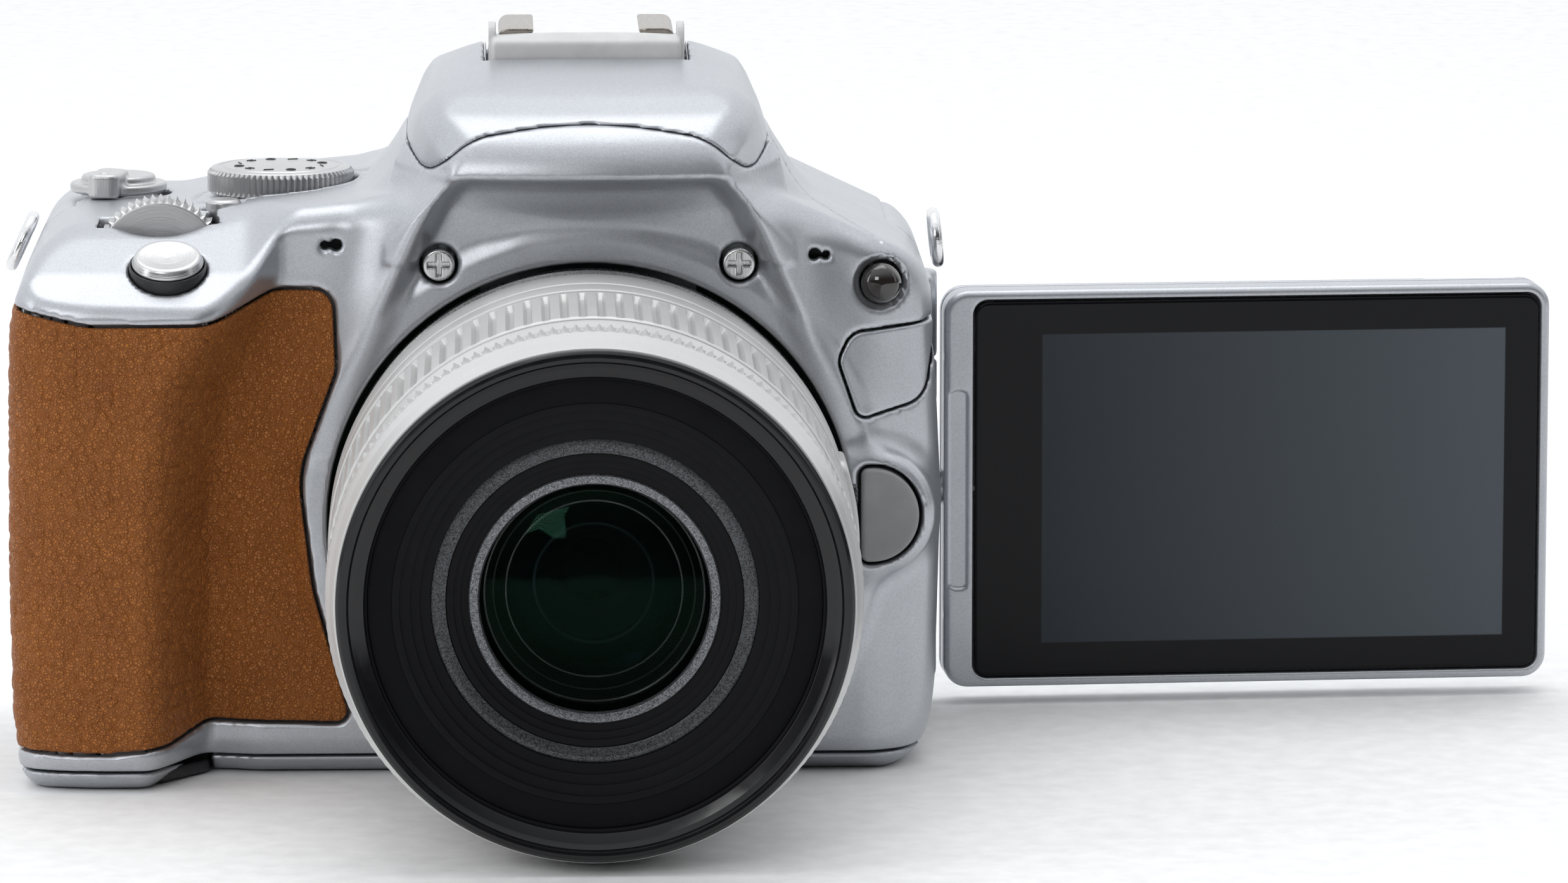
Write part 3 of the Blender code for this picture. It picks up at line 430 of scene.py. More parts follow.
def hump_field(g):
    """Viewfinder hump with the flash head and its bowed lip, worked out only near itself."""
    wide = np.abs(g.x[:, 0, 0]) < 37
    tall = g.z[0, 0] > 58
    x, z = g.x[wide], g.z[:, :, tall]
    bow = 0.0058 * x**2 * ease(-g.y, 12.0, 40.0)
    side = outline_field(g.y - bow, z, HUMP_SIDE)
    front = outline_field(x, z, HUMP_FRONT)
    plan = outline_field(x, g.y, HUMP_PLAN)
    form = meet(meet(front, plan, 3.0), side, 0.7 + 2.6 * ease(z, 79.6, 84.0))
    field = np.full((len(wide), g.y.shape[1], len(tall)), 20.0, np.float32)
    field[np.ix_(wide, np.full(g.y.shape[1], True), tall)] = form
    return field


def slope_field(g):
    """Space over the grip's sloping top, which fades out beside the nose on the lens side."""
    above = outline_field(g.y, g.z, GRIP_SLOPE)
    return above + 9.0 * ease(g.x, -45.0, -31.0)


def body_field(g):
    """Whole outer form: front depth map, outlines from the front and above, grip slope and hump."""
    depth = blurred(front_depth(g.x[:, 0], g.z[:, 0]), 0.55 / g.step)
    lean_x, lean_z = np.gradient(depth, g.step)
    depth = depth[:, None, :]
    lean = np.sqrt(1 + lean_x**2 + lean_z**2)[:, None, :]
    front = (depth - g.y) / lean
    sides = outline_field(g.x, g.z, SIDES_OUTLINE)
    plan = outline_field(g.x, g.y, PLAN_OUTLINE)
    form = meet(meet(plan, front, 5.0), sides, 6.0 - 2.6 * ease(g.z, 2.0, 12.0))
    form = cut(form, slope_field(g), 1.6)
    # the ridges carry on up to the corners of the overhang
    cheek = outline_field(g.x, g.y, HUMP_PLAN) - 0.62 * np.maximum(79.0 - g.z, 0)
    brow = both(front, cheek, g.z - 79.0, 68.0 - g.z, g.y + 34.0, outline_field(g.x, g.z, HUMP_FRONT))
    form = join(form, brow, 0.8)
    form = join(form, hump_field(g), 1.2 + 6.0 * ease(np.abs(g.x), 18.0, 24.0) * ease(g.y, -42.0, -28.0))
    # round boss of the lens mount, with the collar of the release button
    away = span(g.x, g.z - AXIS_Z)
    boss = meet(away - 37.6, np.abs(g.y + 32.0) - 10.8, 1.2)
    x, _, z = RELEASE_AT
    collar = rod_field(g, (x, -30.0, z), (x, -44.2, z), 8.4, 2.4)
    boss = join(boss, collar, 2.5)
    boss = meet(boss, 0.6 - g.z, 1.2)
    return join(form, boss, 2.4)


def terminal_field(g, gap=0.0):
    return outline_field(g.x, g.z, DOOR_OUTLINE) - gap


def leather_field(g, gap=0.0):
    outline = outline_field(g.x, g.z, LEATHER_OUTLINE) - gap
    return meet(outline, g.y - (SIDE_SEAM_Y - 2.0) - gap)


def flash_room(g, gap=0.0):
    """Room of the flash head: above the seam, round the hot shoe, back to its pivot."""
    seam = outline_field(g.x, g.z, FLASH_SEAM)
    _, y, z = FLASH_PIVOT
    away = span(g.y - y, g.z - z)
    reach = np.minimum(away - 4.6, g.y - y)
    shoe = both(np.abs(g.x) - SHOE_HALF, away - SHOE_CLEARANCE)
    return both(seam, reach, -shoe) - gap


def split(field, region):
    """Part of a form inside a region, with a small rounded edge at the seam."""
    return meet(field, region + GAP, 0.3)


def hollow(field):
    return both(field, -(field + WALL))


def shutter_bore(g):
    along = Vector(SHUTTER_AXIS).normalized() * 9
    return rod_field(g, Vector(SHUTTER_AT) - along, Vector(SHUTTER_AT) + along, 5.0)


def upper_seam(g):
    """Height above the seam between the lower covers and the top cover."""
    return g.z - TOP_SEAM_Z - 2.4 * ease(-g.x, 26.0, 34.0)


# ---------------------------------------------------------------- materials


class Finish:
    """Principled material whose texture nodes work on object coordinates."""

    def __init__(self, name, colour, roughness, **sockets):
        self.material = bpy.data.materials.new(name)
        self.material.use_nodes = True
        self.nodes = self.material.node_tree.nodes
        self.links = self.material.node_tree.links
        self.shader = self.nodes["Principled BSDF"]
        self.shader.inputs["Base Color"].default_value = (*colour, 1.0)
        self.shader.inputs["Roughness"].default_value = roughness
        for socket, value in sockets.items():
            self.shader.inputs[socket.replace("_", " ")].default_value = value
        self.colour = colour
        self.place = self.nodes.new("ShaderNodeTexCoord").outputs["Object"]

    def node(self, kind, values, **options):
        made = self.nodes.new(kind)
        for option, value in options.items():
            setattr(made, option, value)
        for socket, value in values.items():
            if isinstance(value, bpy.types.NodeSocket):
                self.links.new(value, made.inputs[socket])
            else:
                made.inputs[socket].default_value = value
        return made

    def stretched(self, scale):
        return self.node("ShaderNodeMapping", {"Vector": self.place, "Scale": scale}).outputs["Vector"]

    def noise(self, per_mm, detail=3.0, place=None, rough=0.55):
        values = {"Vector": place or self.place, "Scale": per_mm * 1000, "Detail": detail, "Roughness": rough}
        return self.node("ShaderNodeTexNoise", values).outputs["Fac"]

    def cells(self, per_mm, feature="F1", output="Distance"):
        values = {"Vector": self.place, "Scale": per_mm * 1000}
        return self.node("ShaderNodeTexVoronoi", values, feature=feature).outputs[output]

    def level(self, value, low, high, to_low=0.0, to_high=1.0):
        values = {0: value, 1: low, 2: high, 3: to_low, 4: to_high}
        return self.node("ShaderNodeMapRange", values).outputs[0]

    def math(self, operation, a, b=0.0):
        return self.node("ShaderNodeMath", {0: a, 1: b}, operation=operation).outputs[0]

    def part(self, axis):
        return self.node("ShaderNodeSeparateXYZ", {0: self.place}).outputs[axis]

    def radius(self):
        flat = self.node(
            "ShaderNodeVectorMath", {0: self.place, 1: (1, 1, 0)}, operation="MULTIPLY",
        ).outputs[0]
        return self.node("ShaderNodeVectorMath", {0: flat}, operation="LENGTH").outputs["Value"]

    def mix(self, factor, a, b):
        made = self.nodes.new("ShaderNodeMix")
        made.data_type = "RGBA"
        for socket, value in (("Factor", factor), ("A", a), ("B", b)):
            target = [s for s in made.inputs if s.name == socket and s.enabled][0]
            if isinstance(value, bpy.types.NodeSocket):
                self.links.new(value, target)
            else:
                target.default_value = (*value, 1.0) if socket != "Factor" else value
        return [s for s in made.outputs if s.enabled][0]

    def tint(self, socket_value):
        self.links.new(socket_value, self.shader.inputs["Base Color"])
        return self

    def vary(self, factor, darker, lighter):
        """Base colour that runs between two shares of the finish's own colour."""
        low = [channel * darker for channel in self.colour]
        high = [min(1.0, channel * lighter) for channel in self.colour]
        return self.tint(self.mix(factor, low, high))

    def rough(self, factor, low, high):
        self.links.new(self.level(factor, 0.25, 0.75, low, high), self.shader.inputs["Roughness"])
        return self

    def bump(self, height, depth_mm, strength=1.0):
        values = {"Height": height, "Distance": depth_mm * MM, "Strength": strength}
        normal = self.node("ShaderNodeBump", values).outputs["Normal"]
        self.links.new(normal, self.shader.inputs["Normal"])
        return self


def painted(name, colour, roughness, metallic, flakes=0.12, **sockets):
    """Metallic paint: small flakes in colour and tilt, with a faint orange peel."""
    f = Finish(name, colour, roughness, Metallic=metallic, **sockets)
    flake = f.cells(9.0, output="Color")
    shade = f.node("ShaderNodeSeparateColor", {0: flake}).outputs[0]
    f.vary(shade, 1 - flakes, 1 + flakes)
    peel = f.math("ADD", f.noise(0.35, 2.0), f.math("MULTIPLY", shade, 0.5))
    f.rough(f.noise(0.12, 4.0), roughness - 0.04, roughness + 0.05)
    return f.bump(peel, 0.0025).material


def moulded(name, colour, roughness, grain=6.0, depth=0.02, **sockets):
    """Moulded plastic or rubber with a fine texture of its own and slight wear in its sheen."""
    f = Finish(name, colour, roughness, **sockets)
    f.vary(f.noise(0.25, 5.0), 0.82, 1.2)
    f.rough(f.noise(0.35, 4.0), roughness - 0.06, roughness + 0.07)
    return f.bump(f.noise(grain, 2.0), depth).material


def spun(name, colour, roughness, **sockets):
    """Metal turned on a lathe: fine rings about the local Z of the piece."""
    f = Finish(name, colour, roughness, Metallic=1.0, **sockets)
    rings = f.node(
        "ShaderNodeTexNoise", {"W": f.radius(), "Scale": 9000.0, "Detail": 3.0}, noise_dimensions="1D",
    )
    f.vary(rings.outputs["Fac"], 0.8, 1.15)
    f.rough(rings.outputs["Fac"], roughness - 0.05, roughness + 0.08)
    return f.bump(rings.outputs["Fac"], 0.02).material


def brushed(name, colour, roughness, stretch, **sockets):
    """Metal with fine straight scratches along one axis."""
    f = Finish(name, colour, roughness, Metallic=1.0, **sockets)
    lines = f.noise(3.0, 4.0, f.stretched(stretch), 0.7)
    f.vary(lines, 0.7, 1.2)
    f.rough(lines, roughness - 0.05, roughness + 0.12)
    return f.bump(lines, 0.02).material


def leather_finish(name):
    """Tanned leather: creases between pebbles, finer pores inside them, uneven dye, and painted shade that
    darkens the creases and pores.
    """
    f = Finish(name, (0.342, 0.107, 0.021), 0.55, Specular_IOR_Level=0.3)
    creases = f.cells(0.9, "DISTANCE_TO_EDGE")
    wide = f.level(creases, 0.0, 0.16)
    fine = f.cells(2.6, "DISTANCE_TO_EDGE")
    pores = f.math("MULTIPLY", f.level(fine, 0.0, 0.12), f.level(wide, 0.0, 1.0, 0.35, 1.0))
    patches = f.noise(0.16, 5.0)
    # uneven dye from the patches, plus painted shade: colour darkens in the creases and pores
    dye_and_crease_shade = f.math("ADD", f.math("MULTIPLY", pores, 0.55), f.math("MULTIPLY", patches, 0.6))
    f.tint(f.mix(f.level(dye_and_crease_shade, 0.1, 1.0), (0.20, 0.056, 0.010), (0.42, 0.145, 0.028)))
    f.rough(pores, 0.62, 0.44)
    return f.bump(f.math("ADD", pores, wide), 0.11).material


def coated_glass(name, tint, reflection):
    """Lens glass with an anti-reflection coating that tints what it mirrors."""
    f = Finish(name, tint, 0.0, IOR=1.2, Transmission_Weight=1.0)
    f.shader.inputs["Specular Tint"].default_value = (*reflection, 1.0)
    f.vary(f.noise(0.08, 3.0), 0.97, 1.02)
    return f.bump(f.noise(0.05, 2.0), 0.004).material


def screen_finish(name):
    """Dark cover glass: a black border and a slightly lighter picture area, with a painted reflection that
    brightens it across the panel, in the panel's own frame.
    """
    f = Finish(name, (0.006, 0.006, 0.007), 0.07, Specular_IOR_Level=0.16)
    x = f.math("MULTIPLY", f.part(0), 1000.0)
    z = f.math("MULTIPLY", f.part(2), 1000.0)
    wide = f.math("SUBTRACT", 31.6, f.math("ABSOLUTE", f.math("SUBTRACT", x, SCREEN_START + 13.2 + 31.6)))
    tall = f.math("SUBTRACT", 21.1, f.math("ABSOLUTE", z))
    inside = f.level(f.math("MINIMUM", wide, tall), -0.05, 0.1)
    # painted reflection: the picture area's colour grows lighter across the panel, standing in for the room
    # mirrored in the glass
    across = f.level(x, 18.0, 82.0)
    painted_reflection = f.mix(
        f.math("ADD", across, f.math("MULTIPLY", f.noise(0.02, 2.0), 0.1)), (0.022, 0.027, 0.033),
        (0.070, 0.083, 0.096),
    )
    f.tint(f.mix(inside, (0.005, 0.005, 0.006), painted_reflection))
    return f.bump(f.noise(0.04, 2.0), 0.002).material


silver = painted(
    "silver_metallic_paint", (0.475, 0.49, 0.52), 0.36, 0.80, 0.1, Coat_Weight=0.12, Coat_Roughness=0.22,
)
ivory = painted(
    "pearl_lens_paint", (0.57, 0.57, 0.565), 0.38, 0.25, 0.04, Coat_Weight=0.15, Coat_Roughness=0.2,
)
spun_metal_silver = spun("spun_silver_metal", (0.55, 0.55, 0.555), 0.32, Anisotropic=0.3)
shoe_grey = moulded("light_grey_shoe_plastic", (0.60, 0.60, 0.60), 0.42, 5.0, 0.02)
sparkle = painted("sparkling_grey_ring", (0.055, 0.058, 0.062), 0.34, 0.6, 0.85)
bright_sparkle = painted("sparkling_light_ring", (0.15, 0.155, 0.165), 0.32, 0.7, 0.75)
leather = leather_finish("tan_grained_leather")
satin_black = moulded("satin_black_plastic", (0.016, 0.016, 0.018), 0.38)
matte_black = moulded("matte_black_paint", (0.004, 0.004, 0.005), 0.6, 9.0, 0.02, Specular_IOR_Level=0.1)
gloss_black = moulded("gloss_black_plastic", (0.005, 0.005, 0.006), 0.16, 0.5, 0.003, Specular_IOR_Level=0.4)
step_grey = moulded("dark_grey_steps", (0.005, 0.005, 0.006), 0.5, 7.0, 0.01, Specular_IOR_Level=0.12)
grey_plastic = moulded("grey_moulded_plastic", (0.26, 0.26, 0.265), 0.46, 5.0, 0.02)
dark_grey = moulded("dark_grey_plastic", (0.05, 0.05, 0.052), 0.42, 5.0, 0.02)
rubber = moulded("soft_black_rubber", (0.018, 0.018, 0.018), 0.74, 4.0, 0.05)
print_black = moulded("printed_marks", (0.02, 0.02, 0.022), 0.5, 5.0, 0.005)
print_white = moulded("white_marks", (0.75, 0.75, 0.74), 0.5, 5.0, 0.005)
spun_steel = spun("spun_steel", (0.60, 0.60, 0.60), 0.24, Anisotropic=0.5)
spun_dark = spun("spun_dark_steel", (0.16, 0.16, 0.165), 0.3, Anisotropic=0.4)
rail_steel = brushed("brushed_rail_steel", (0.36, 0.325, 0.29), 0.26, (1.0, 0.06, 1.0))
mount_steel = brushed("brushed_mount_steel", (0.55, 0.54, 0.53), 0.24, (1.0, 1.0, 0.3))
chrome = brushed("polished_chrome", (0.82, 0.82, 0.83), 0.10, (0.4, 1.0, 1.0))
mirror_coat = brushed("front_silvered_mirror", (0.90, 0.90, 0.91), 0.05, (0.05, 0.05, 0.05))
# the front glass's dark grey tint dims everything seen through it: painted shade inside the lens barrel
front_glass = coated_glass("shade_dimmed_front_glass", (0.22, 0.23, 0.23), (0.18, 0.50, 0.34))
inner_glass = coated_glass("coated_inner_glass", (0.80, 0.90, 0.95), (0.35, 0.75, 1.0))
deep_glass = coated_glass("coated_deep_glass", (0.94, 0.90, 0.84), (1.0, 0.62, 0.35))
eye_glass = coated_glass("eyepiece_glass", (0.80, 0.86, 0.88), (0.6, 0.8, 1.0))
lamp_glass = moulded(
    "dark_lamp_lens", (0.016, 0.012, 0.011), 0.06, 0.4, 0.003, Coat_Weight=0.8, Coat_Roughness=0.03,
)
diffuser = moulded("ribbed_flash_diffuser", (0.78, 0.78, 0.77), 0.25, 1.0, 0.05, Transmission_Weight=0.35)
screen_glass = screen_finish("dark_screen_glass")
board_green = moulded("lacquered_board", (0.01, 0.11, 0.045), 0.35, 2.0, 0.02)


# ---------------------------------------------------------------- covers


def upper_shell():
    """Front and top covers, which meet without a visible seam over the nose and the hood."""
    g = Grid((-78, -56, 1), (49, 17, 97), 0.4)
    body = body_field(g)
    low = both(BASE_SEAM_Z - g.z, np.minimum(g.y - SIDE_SEAM_Y, -upper_seam(g)))
    field = split(hollow(body), low)
    away = span(g.x, g.z - AXIS_Z)
    field = cut(field, both(away - 26.9, g.y + 20), 0.4)
    field = cut(field, both(away - 33.9, g.y + 40.7), 0.5)
    leather_room = both(leather_field(g, 0.3), -(body + SKIN + 0.3))
    field = cut(field, leather_room, 0.3)
    door = both(terminal_field(g, 0.32), -(body + SKIN + 0.6))
    field = cut(field, both(door, g.y + 24.7), 0.25)
    jack = span(g.x - 38.4, g.z - 52.5)
    field = cut(field, both(jack - 3.9, g.y + 20), 0.3)
    field = cut(field, both(release_shape(g, 0.45), g.y + 30), 0.4)
    for side in (-1, 1):
        screw = span(g.x - side * SCREW_X, g.z - SCREW_Z)
        field = cut(field, both(screw - 2.5, g.y + 30), 0.35)
    x, _, z = LAMP_AT
    lamp = span(g.x - x, g.z - z)
    field = cut(field, both(lamp - 3.4, g.y + 30, -(body + 0.8)), 0.5)
    field = cut(field, both(lamp - 2.8, g.y + 30), 0.3)
    field = cut(field, shutter_bore(g), 0.5)
    field = cut(field, flash_room(g, 0.03), 0.32)
    for at, radius, floor in ((MODE_AT, 10.2, MODE_FLOOR), (POWER_AT, 6.9, TOP_Z - 0.8)):
        well = span(g.x - at[0], g.y - at[1]) - radius
        field = cut(field, both(well, floor - g.z), 0.35)
    ring = np.abs(span(g.x - MODE_AT[0], g.y - MODE_AT[1]) - 11.4) - 0.25
    field = cut(field, both(ring, -(body + 0.4), 70.0 - g.z), 0.2)
    iso = span(g.x - ISO_AT[0], g.y - ISO_AT[1]) - 2.8
    field = cut(field, both(iso, 60 - g.z), 0.4)
    slot = span(g.x - MAIN_AT[0], g.z - MAIN_AT[2]) - 9.4
    field = cut(field, both(slot, np.abs(g.y - MAIN_AT[1]) - 3.4), 0.5)
    scoop = np.sqrt((g.x - MAIN_AT[0]) ** 2 + (g.y - MAIN_AT[1] + 2.0) ** 2 + (g.z - 79.0) ** 2) - 9.6
    field = cut(field, scoop, 0.8)
    for x, z, radius in MIC_HOLES:
        hole = span(g.x - x, g.z - z) - radius
        field = cut(field, both(hole, g.y + 30), 0.2)
    # fine seam over the right shoulder, from the hump's foot to the terminal door's corner
    seam = np.abs((g.x - 29.5) * 0.42 + (g.z - 76.0) * 0.05 + (g.y + 28.0) * 0.30) - 0.14
    near = both(23.5 - g.x, 66.0 - g.z, -(body + 0.35))
    field = cut(field, both(seam, near), 0.1)
    field = cut(field, box_field(g, (-11.3, 8, 70.2), (11.3, 20, 84.4), 1.5), 0.5)
    field = cut(field, box_field(g, (-13.1, -21.5, 88.6), (13.1, 0.9, 104), 0.4), 0.15)
    field = cut(field, rod_field(g, (21.4, 5, 77), (21.4, 20, 77), 2.6), 0.3)
    return shell_of("upper_shell", g, field, silver)


def rear_shell():
    g = Grid((-78, -13, 1), (49, 15, 71), 0.42)
    body = body_field(g)
    region = both(upper_seam(g), SIDE_SEAM_Y - g.y, BASE_SEAM_Z - g.z)
    low = HINGE[2] - SCREEN_HEIGHT / 2 - 0.6
    high = HINGE[2] + SCREEN_HEIGHT / 2 + 0.6
    left = HINGE[0] - SCREEN_START - SCREEN_WIDTH - 0.8
    field = both(body, -both(body + WALL, g.y - 4.2))
    field = cut(field, box_field(g, (left, 6.1, low - 8), (HINGE[0] + 0.5, 40, high), 4.0), 0.6)
    field = cut(field, box_field(g, (38.9, 4.6, low - 8), (70, 40, high), 0.8), 0.5)
    for z0, z1 in ((BASE_SEAM_Z + 0.9, 11.7), (47.3, high + 2)):
        knuckle = rod_field(g, (HINGE[0], HINGE[1], z0), (HINGE[0], HINGE[1], z1), 2.9, 0.6)
        ear = box_field(g, (HINGE[0] - 2.6, 2.6, z0), (HINGE[0] + 1.9, 9.2, z1), 0.5)
        field = join(field, join(knuckle, ear, 0.5), 0.4)
    field = cut(field, box_field(g, (-70.0, 4.0, 8.0), (-45.0, 11.2, 64.0), 1.0), 0.3)
    rest = span((g.x + 62.5) / 1.1, g.z - 47) - 9.5
    field = join(field, meet(meet(rest, g.y - REAR_Y - 1.6, 1.2), REAR_Y - 3.0 - g.y), 2.5)
    for x, z, radius in REAR_BUTTONS.values():
        away = span(g.x - x, g.z - z)
        field = cut(field, both(away - radius - 0.35, 3 - g.y), 0.5)
    away = span(g.x - KEYS_AT[0], g.z - KEYS_AT[2])
    field = cut(field, both(away - KEYS_RADIUS - 0.6, 5 - g.y), 0.6)
    return shell_of("rear_shell", g, split(field, region), silver)


def base_plate():
    g = Grid((-78, -56, -1.5), (49, 16, 5), 0.42)
    body = body_field(g)
    field = split(body, g.z - BASE_SEAM_Z)
    away = span(g.x, g.y + 20)
    field = cut(field, away - 5.8, 0.3)
    groove = both(np.abs(away % 1.6 - 0.8) - 0.3, g.z - 0.35)
    field = cut(field, both(groove, np.abs(away - 11.0) - 4.0), 0.15)
    field = cut(field, outline_field(g.x, g.y, DOOR_MOUTH) - 0.35, 0.3)
    field = cut(field, box_field(g, (-43.0, 5.8, 1.6), (70, 40, 9), 0.4), 0.3)
    return shell_of("base_plate", g, field, silver)


def leather_grain(g):
    """Raised pebbles of the leather, from a cellular pattern over the front, deeper on the grip."""
    random = np.random.default_rng(4)
    cell = 2.3
    wide = int(120 / cell)
    jitter = random.random((wide, wide, 2)) * 0.9
    u = (g.x[:, 0] + 100) / cell
    v = (g.z[:, 0] + 10) / cell
    u, v = np.broadcast_arrays(u, v)
    iu = np.floor(u).astype(int)
    iv = np.floor(v).astype(int)
    first = np.full(u.shape, 9.0)
    second = np.full(u.shape, 9.0)
    for du in (-1, 0, 1):
        for dv in (-1, 0, 1):
            point = jitter[(iu + du) % wide, (iv + dv) % wide]
            away = span(iu + du + point[..., 0] - u, iv + dv + point[..., 1] - v)
            second = np.minimum(second, np.maximum(first, away))
            first = np.minimum(first, away)
    edge = np.clip((second - first) / 0.35, 0, 1)
    depth = np.interp(g.x[:, 0], [-52, -40], [0.34, 0.16])
    return ((1 - edge) ** 2 * depth)[:, None, :].astype(np.float32)


def grip_skin():
    g = Grid((-78, -55, 2), (-29, -11, 67), 0.3)
    body = body_field(g)
    field = meet(both(body + leather_grain(g), -(body + SKIN)), leather_field(g, -0.1), 0.35)
    return shell_of("grip_skin", g, field, leather)


def terminal_door():
    g = Grid((30, -46, 45), (49, -24, 61), 0.2)
    body = body_field(g)
    field = meet(both(body, -(body + SKIN)), terminal_field(g), 0.3)
    return shell_of("terminal_door", g, both(field, g.y + 25), silver)


def flash_shell():
    g = Grid((-28, -53, 77), (28, 7, 97), 0.34)
    form = hump_field(g)
    field = meet(form, flash_room(g) + 0.03, 0.32)
    housing = box_field(g, (-14.0, -46.4, 80.4), (14.0, -30.0, 89.6), 0.6)
    housing = both(housing, -((g.y + 46.0) * 0.62 + (g.z - 85.4) * 0.78))
    field = np.minimum(field, both(housing, form + 2.4))
    return shell_of("flash_shell", g, field, silver)


# ---------------------------------------------------------------- lens


# frame of the lens: its local Z runs forwards from the sensor's plane
LENS = Matrix(((1, 0, 0, 0), (0, 0, -1, 0), (0, 1, 0, AXIS_Z), (0, 0, 0, 1)))
PAD_OUTLINE = [(-62.6, -11.0, 2.0), (-52.0, -11.0, 2.0), (-52.0, 11.0, 2.0), (-62.6, 11.0, 2.0)]


def band(value, low, high, soft):
    """1 between low and high, easing to 0 over a soft edge outside."""
    return ease(value, low - soft, low) * (1 - ease(value, high, high + soft))


def zoom_ribs(r, d, a):
    """Shape function: broad ribs with narrow grooves between them."""
    phase = (a * 90 / (2 * math.pi)) % 1.0
    groove = ease(np.abs(phase - 0.5), 0.285, 0.345)
    outer = ease(r, 32.0, 32.6)
    return r - 0.85 * groove * band(d, 65.9, 85.4, 0.7) * outer


def focus_teeth(r, d, a):
    """Shape function: fine teeth that fade out towards the front."""
    phase = (a * 144 / (2 * math.pi)) % 1.0
    groove = 1 - np.abs(phase - 0.5) * 2
    depth = 0.95 * ease(d, 91.8, 92.2) * (1 - ease(d, 94.0, 99.4))
    return r - depth * (1 - groove) * ease(r, 31.4, 32.2)


def barrel_ring(name, profile, material, segments=256, sharp=34):
    """Turned trim that travels with the front barrel."""
    put("front_barrel", "gloss_black", turned(name, profile, material, LENS, segments, sharp=sharp))


